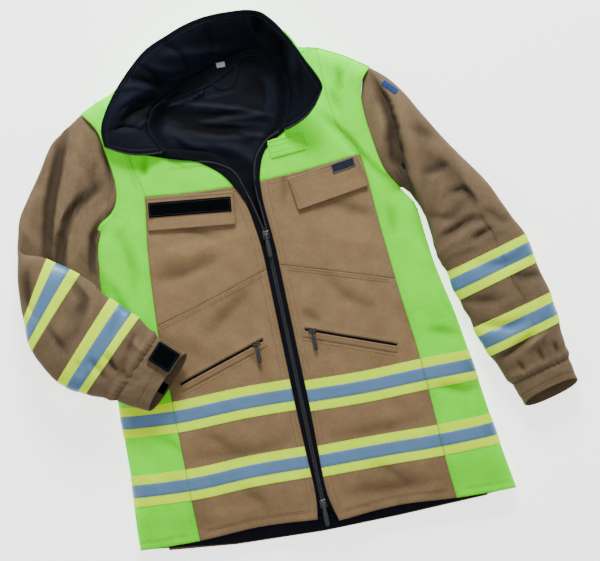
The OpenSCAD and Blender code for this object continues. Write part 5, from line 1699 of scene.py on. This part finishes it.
for side in FLAPS:
    (fx, fy), turn, w = FLAPS[side]
    body = "chest_flap_" + side
    M = local(fx, fy, 0, turn)
    d = 54.0
    poly = [[0.6, -0.2], [0.3, -d + 2.6], [0.9, -d + 1.2], [2.4, -d + 0.6], [w - 2.4, -d + 0.6],
            [w - 0.9, -d + 1.2],
            [w - 0.3, -d + 2.6], [w - 0.6, -0.2]]
    piece = patchy(poly, 34.22, 1.7, groove=(3.0, 8.6), wavy=0.34, seed=91 + len(side), step=3.6,
                   tilt=lambda x, y: 0.9 * smooth((-y - 34) / 20))
    piece.build("cloth_chest_flap_" + side, body, [TAN], "shell_tan", ["chest_flap_" + side], matrix=M)
    st = Stitches()
    for inset in (2.9, 8.4):
        ring_stitch(st, poly, inset, 34.42, M)
    st.build("stitching_flap_" + side, body, THREAD_TAN, slot="shell_tan")
strip, strip_at = rounded(3, -32, 135, -9, 1.2), local(-176, 194.5, 0, -7.4)
p = patchy(strip, 35.95, 1.5, groove=(2.4,), wavy=0.12, seed=97, step=2.4)
p.build("pile_flap_loop_strip", "chest_flap_right", [PILE], "hook_and_loop", ["flap_loop_strip"], matrix=strip_at)
st = Stitches()
ring_stitch(st, strip, 2.3, 35.9, strip_at)
st.build("stitching_flap_strip", "chest_flap_right", THREAD_DARK, slot="hook_and_loop")
patch, patch_at = rounded(72, -17, 110, -2, 0.9), local(52, 177.5, 0, 7.4)
p = patchy(patch, 35.35, 1.0, border=0.18, wavy=0.06, seed=98, step=1.6, rows=(0.4, 1.1, 1.9, 2.6))
p.build("woven_blank_patch", "chest_flap_left", [PATCH], "patch", ["blank_patch"], matrix=patch_at)
st = Stitches()
ring_stitch(st, patch, 0.7, 35.55, patch_at, 1.6)
st.build("stitching_patch", "chest_flap_left", PATCH_EDGE, r=0.42, slot="patch")

M = local(32, 229, 0, 3)
tab = rounded(0.5, -15, 59.5, 15, 2.0)
P, T, d = fill(tab, step=3.0, rows=(0.6, 1.8, 3.6))
W = P @ np.array(M.to_3x3(), float)[:2, :2].T + [32, 229]
z = front(W[:, 0], W[:, 1])[0] + 2.1 - 0.5 * np.exp(-((d / 0.8) ** 2)) - 0.35 * np.exp(-(((d - 3.4) / 1.0) ** 2))
z = z + 0.5 * np.exp(-(((d - 1.8) / 1.1) ** 2))
p = Piece()
# painted shade round the tab's edge and in its stitched groove
tone = 1 - 0.2 * np.exp(-((d / 0.9) ** 2)) - 0.12 * np.exp(-(((d - 3.4) / 1.0) ** 2))
p.sheet(np.column_stack([W, z]), T, 1.9, tone=tone)
for y in (-5.0, 5.0):
    q = even(placed((32, 229), 3, [[4, y], [56, y]]), 2.0)
    p.add(*rod(np.column_stack([q, top(q[:, 0], q[:, 1]) + 2.15]), 0.55, 8))
p.build("cloth_mic_tab", "coat", [LIME], "shell_lime", ["mic_tab"])
q = placed((32, 229), 3, rounded(3.6, -11.6, 56.4, 11.6, 1.0))
thread_lime.over(looped(q), 2.1)

# the hanging loop: a strap bent into a half oval
t = np.radians(np.linspace(180, 360, 60))
mid = np.column_stack([-15 + 24 * np.cos(t), 373.1 + 31 * np.sin(t), 6.25 + 0.12 * np.sin(5 * t)])
P = np.stack([np.column_stack([offset(mid, s)[:, :2], mid[:, 2] + 0.12 * (1 - abs(s) / 3)]) for s in (-2.9, -2.2,
        -1, 0, 1, 2.2, 2.9)])
p = Piece()
p.grid(P, 1.25, flip=True)
for s in (-1, 1):
    p.add(*block(-15 + s * 24, 374.5, 6.25, 6.4, 3.4, 1.35, 0.3))
p.build("webbing_hanging_loop", "hanging_loop", [WEBBING], "webbing_black", ["hanging_loop"])
label = rounded(-22, 375.6, -8, 384.4, 0.5)
p = patchy(label, 5.35, 0.5, wavy=0.12, seed=99, step=1.4, rows=(0.4, 1.0),
           tilt=lambda x, y: np.maximum(0, y - 377) * 0.12)
p.build("woven_size_label", "coat", [LABEL], "label_white", ["size_label"])

M = Matrix.Rotation(math.radians(-48), 4, "Z") @ Matrix.Rotation(math.radians(-30), 4, "X")
sp = rounded(-14, -5.5, 14, 5.5, 2.0)
P, T, d = fill(sp, step=1.6, rows=(0.5, 1.4))
W = P @ np.array(M, float)[:2, :2].T + [243, 287]
z = on_sleeve(W, flat) + 1.1 - 0.3 * np.exp(-((d / 0.7) ** 2)) + 0.2 * (d < 1.6)
p = Piece()
p.sheet(np.column_stack([W, z]), T, 0.9)
p.build("woven_shoulder_patch", "coat", [BLUE], "patch_blue", ["shoulder_patch"])

# the cuff tabs
M = (Matrix.Translation((-183.5, -44.8, 67.4)) @ Matrix.Rotation(math.radians(45.5), 4, "Z")
     @ Matrix.Rotation(math.radians(8.5), 4, "Y"))
tab = rounded(-41, -21, 0, 21, 2.4)
p = patchy(tab, -0.1, 1.6, groove=(2.6,), wavy=0.12, seed=101, step=2.6)
p.build("cloth_cuff_tab_right", "cuff_tab_right", [TAN_SLEEVE_SHADED], "shell_tan", ["cuff_tab_right"], matrix=M)
pad = rounded(-39, -19, -4, 19, 2.6)
p = patchy(pad, 1.15, 1.1, groove=(2.2,), wavy=0.08, seed=102, step=1.9)
p.build("pile_cuff_tab_right", "cuff_tab_right", [PILE], "hook_and_loop", ["cuff_tab_patch_right"], matrix=M)
st = Stitches()
ring_stitch(st, pad, 2.1, 1.2, M)
ring_stitch(st, tab, 1.2, 0.0, M)
st.build("stitching_cuff_tab", "cuff_tab_right", THREAD_DARK, slot="hook_and_loop")
M2 = local(391, -226, 0, 14)
p = patchy(rounded(-24, -14, 24, 14, 2.4), 3.0, 1.8, groove=(2.4,), wavy=0.1, seed=103, step=3.2)
p.build("cloth_cuff_tab_left", "coat", [TAN_SLEEVE_SHADED], "shell_tan", ["cuff_tab_left"], matrix=M2)
M3 = local(-213, -108, 0, 47)
p = patchy(rounded(-9, -7, 9, 7, 1.4), 38.6, 1.2, wavy=0.1, seed=104, step=1.6)
p.build("pile_cuff_inner_pad", "coat", [PILE], "hook_and_loop", matrix=M3)

for stitches, mat, name, slot in (
        (thread_tan, THREAD_TAN, "stitching_tan", "shell_tan"),
        (thread_lime, THREAD_LIME, "stitching_lime", "shell_lime"),
        (thread_yellow, THREAD_YELLOW, "stitching_trim", "reflective_trim"),
        (thread_dark, THREAD_DARK, "stitching_lining", "lining_black")):
    stitches.build(name, "coat", mat, slot=slot)

# ---- floor, light and camera ------------------------------------------------------------------

floor = bpy.data.meshes.new("floor")
floor.from_pydata([(-6, -6, -0.0002), (6, -6, -0.0002), (6, 6, -0.0002), (-6, 6, -0.0002)], [], [(0, 1, 2, 3)])
paper = bpy.data.materials.new("floor_paper")
paper.use_nodes = True
for socket, value in (("Base Color", (0.95, 0.95, 0.95, 1)), ("Roughness", 0.9), ("Emission Color", (1, 1, 1, 1)),
                      ("Emission Strength", 2.0)):
    paper.node_tree.nodes["Principled BSDF"].inputs[socket].default_value = value
floor.materials.append(paper)
ground = bpy.data.objects.new("floor", floor)
bpy.context.scene.collection.objects.link(ground)


def lamp(name, place, aim, watts, size_m):
    data = bpy.data.lights.new(name, "AREA")
    data.energy, data.size = watts, size_m
    o = bpy.data.objects.new(name, data)
    bpy.context.scene.collection.objects.link(o)
    o.location = place
    o.rotation_mode = "QUATERNION"
    o.rotation_quaternion = (Vector(aim) - Vector(place)).to_track_quat("-Z", "Y")


lamp("key", (0.35, 2.3, 1.25), (0, 0.05, 0), 112, 0.7)
lamp("fill", (-2.0, 0.2, 1.5), (0, 0, 0), 12, 1.2)
lamp("over", (0.2, -0.2, 3.2), (0, 0, 0), 17, 2.0)
world = bpy.data.worlds.new("studio")
world.use_nodes = True
world.node_tree.nodes["Background"].inputs["Color"].default_value = (1, 1, 1, 1)
world.node_tree.nodes["Background"].inputs["Strength"].default_value = 0.42
bpy.context.scene.world = world

cam = bpy.data.cameras.new("camera")
SENSOR, HEIGHT, VIEW_WIDTH = 36, 4.6, 0.960  # mm; metres above the coat; metres across the picture
cam.sensor_width = SENSOR
cam.lens = SENSOR * HEIGHT / VIEW_WIDTH
cam.clip_start, cam.clip_end = 0.05, 60
view = bpy.data.objects.new("camera", cam)
bpy.context.scene.collection.objects.link(view)
a = math.radians(12)
right, up = Vector((math.cos(a), -math.sin(a), 0)), Vector((math.sin(a), math.cos(a), 0))
view.matrix_world = Matrix(((right.x, up.x, 0, 0.0379), (right.y, up.y, 0, 0.0139), (0, 0, 1, 0.034 + HEIGHT),
                            (0, 0, 0, 1)))
bpy.context.scene.camera = view

# ---- the cut of each soft piece, worked out and not kept ----------------------------------------

BAND_WIDTH = TRIM_WIDTH * MM
LEAST_SIDE = 0.0105  # metres: a sheet may not state less than 10 mm
SPARSE, FULLNESS = 0.32, 0.8  # a piece that covers less of its rectangle than SPARSE is taken at FULLNESS


def declare(obj):
    """Works out a cloth piece's own cut from the spread of its pattern coordinates and half its closed surface, and
    keeps nothing of it.
    """
    mesh = obj.data
    uv = np.zeros(len(mesh.loops) * 2, np.float32)
    mesh.uv_layers[0].data.foreach_get("uv", uv)
    span = np.ptp(uv.reshape(-1, 2), axis=0) * 0.1  # in metres
    area = sum(f.area for f in mesh.polygons) / 2
    w, l = (max(float(side), LEAST_SIDE) for side in span)
    if "_trim_" in obj.name:
        w, l = BAND_WIDTH, area / BAND_WIDTH
    elif area > w * l:
        k = math.sqrt(area / (w * l)) * 1.001
        w, l = w * k, l * k
    elif area < SPARSE * w * l:
        l = max(w, l)
        w = area / (FULLNESS * l)
        if w < LEAST_SIDE:
            w, l = LEAST_SIDE, area / (FULLNESS * LEAST_SIDE)
    w, l = math.ceil(w * 1000) / 1000, math.ceil(l * 1000) / 1000


for obj in list(bpy.data.objects):
    if obj.type == "MESH" and obj.name.startswith(("cloth_", "woven_", "webbing_",
                                                   "pile_")) or obj.name.endswith("_cloth"):
        declare(obj)
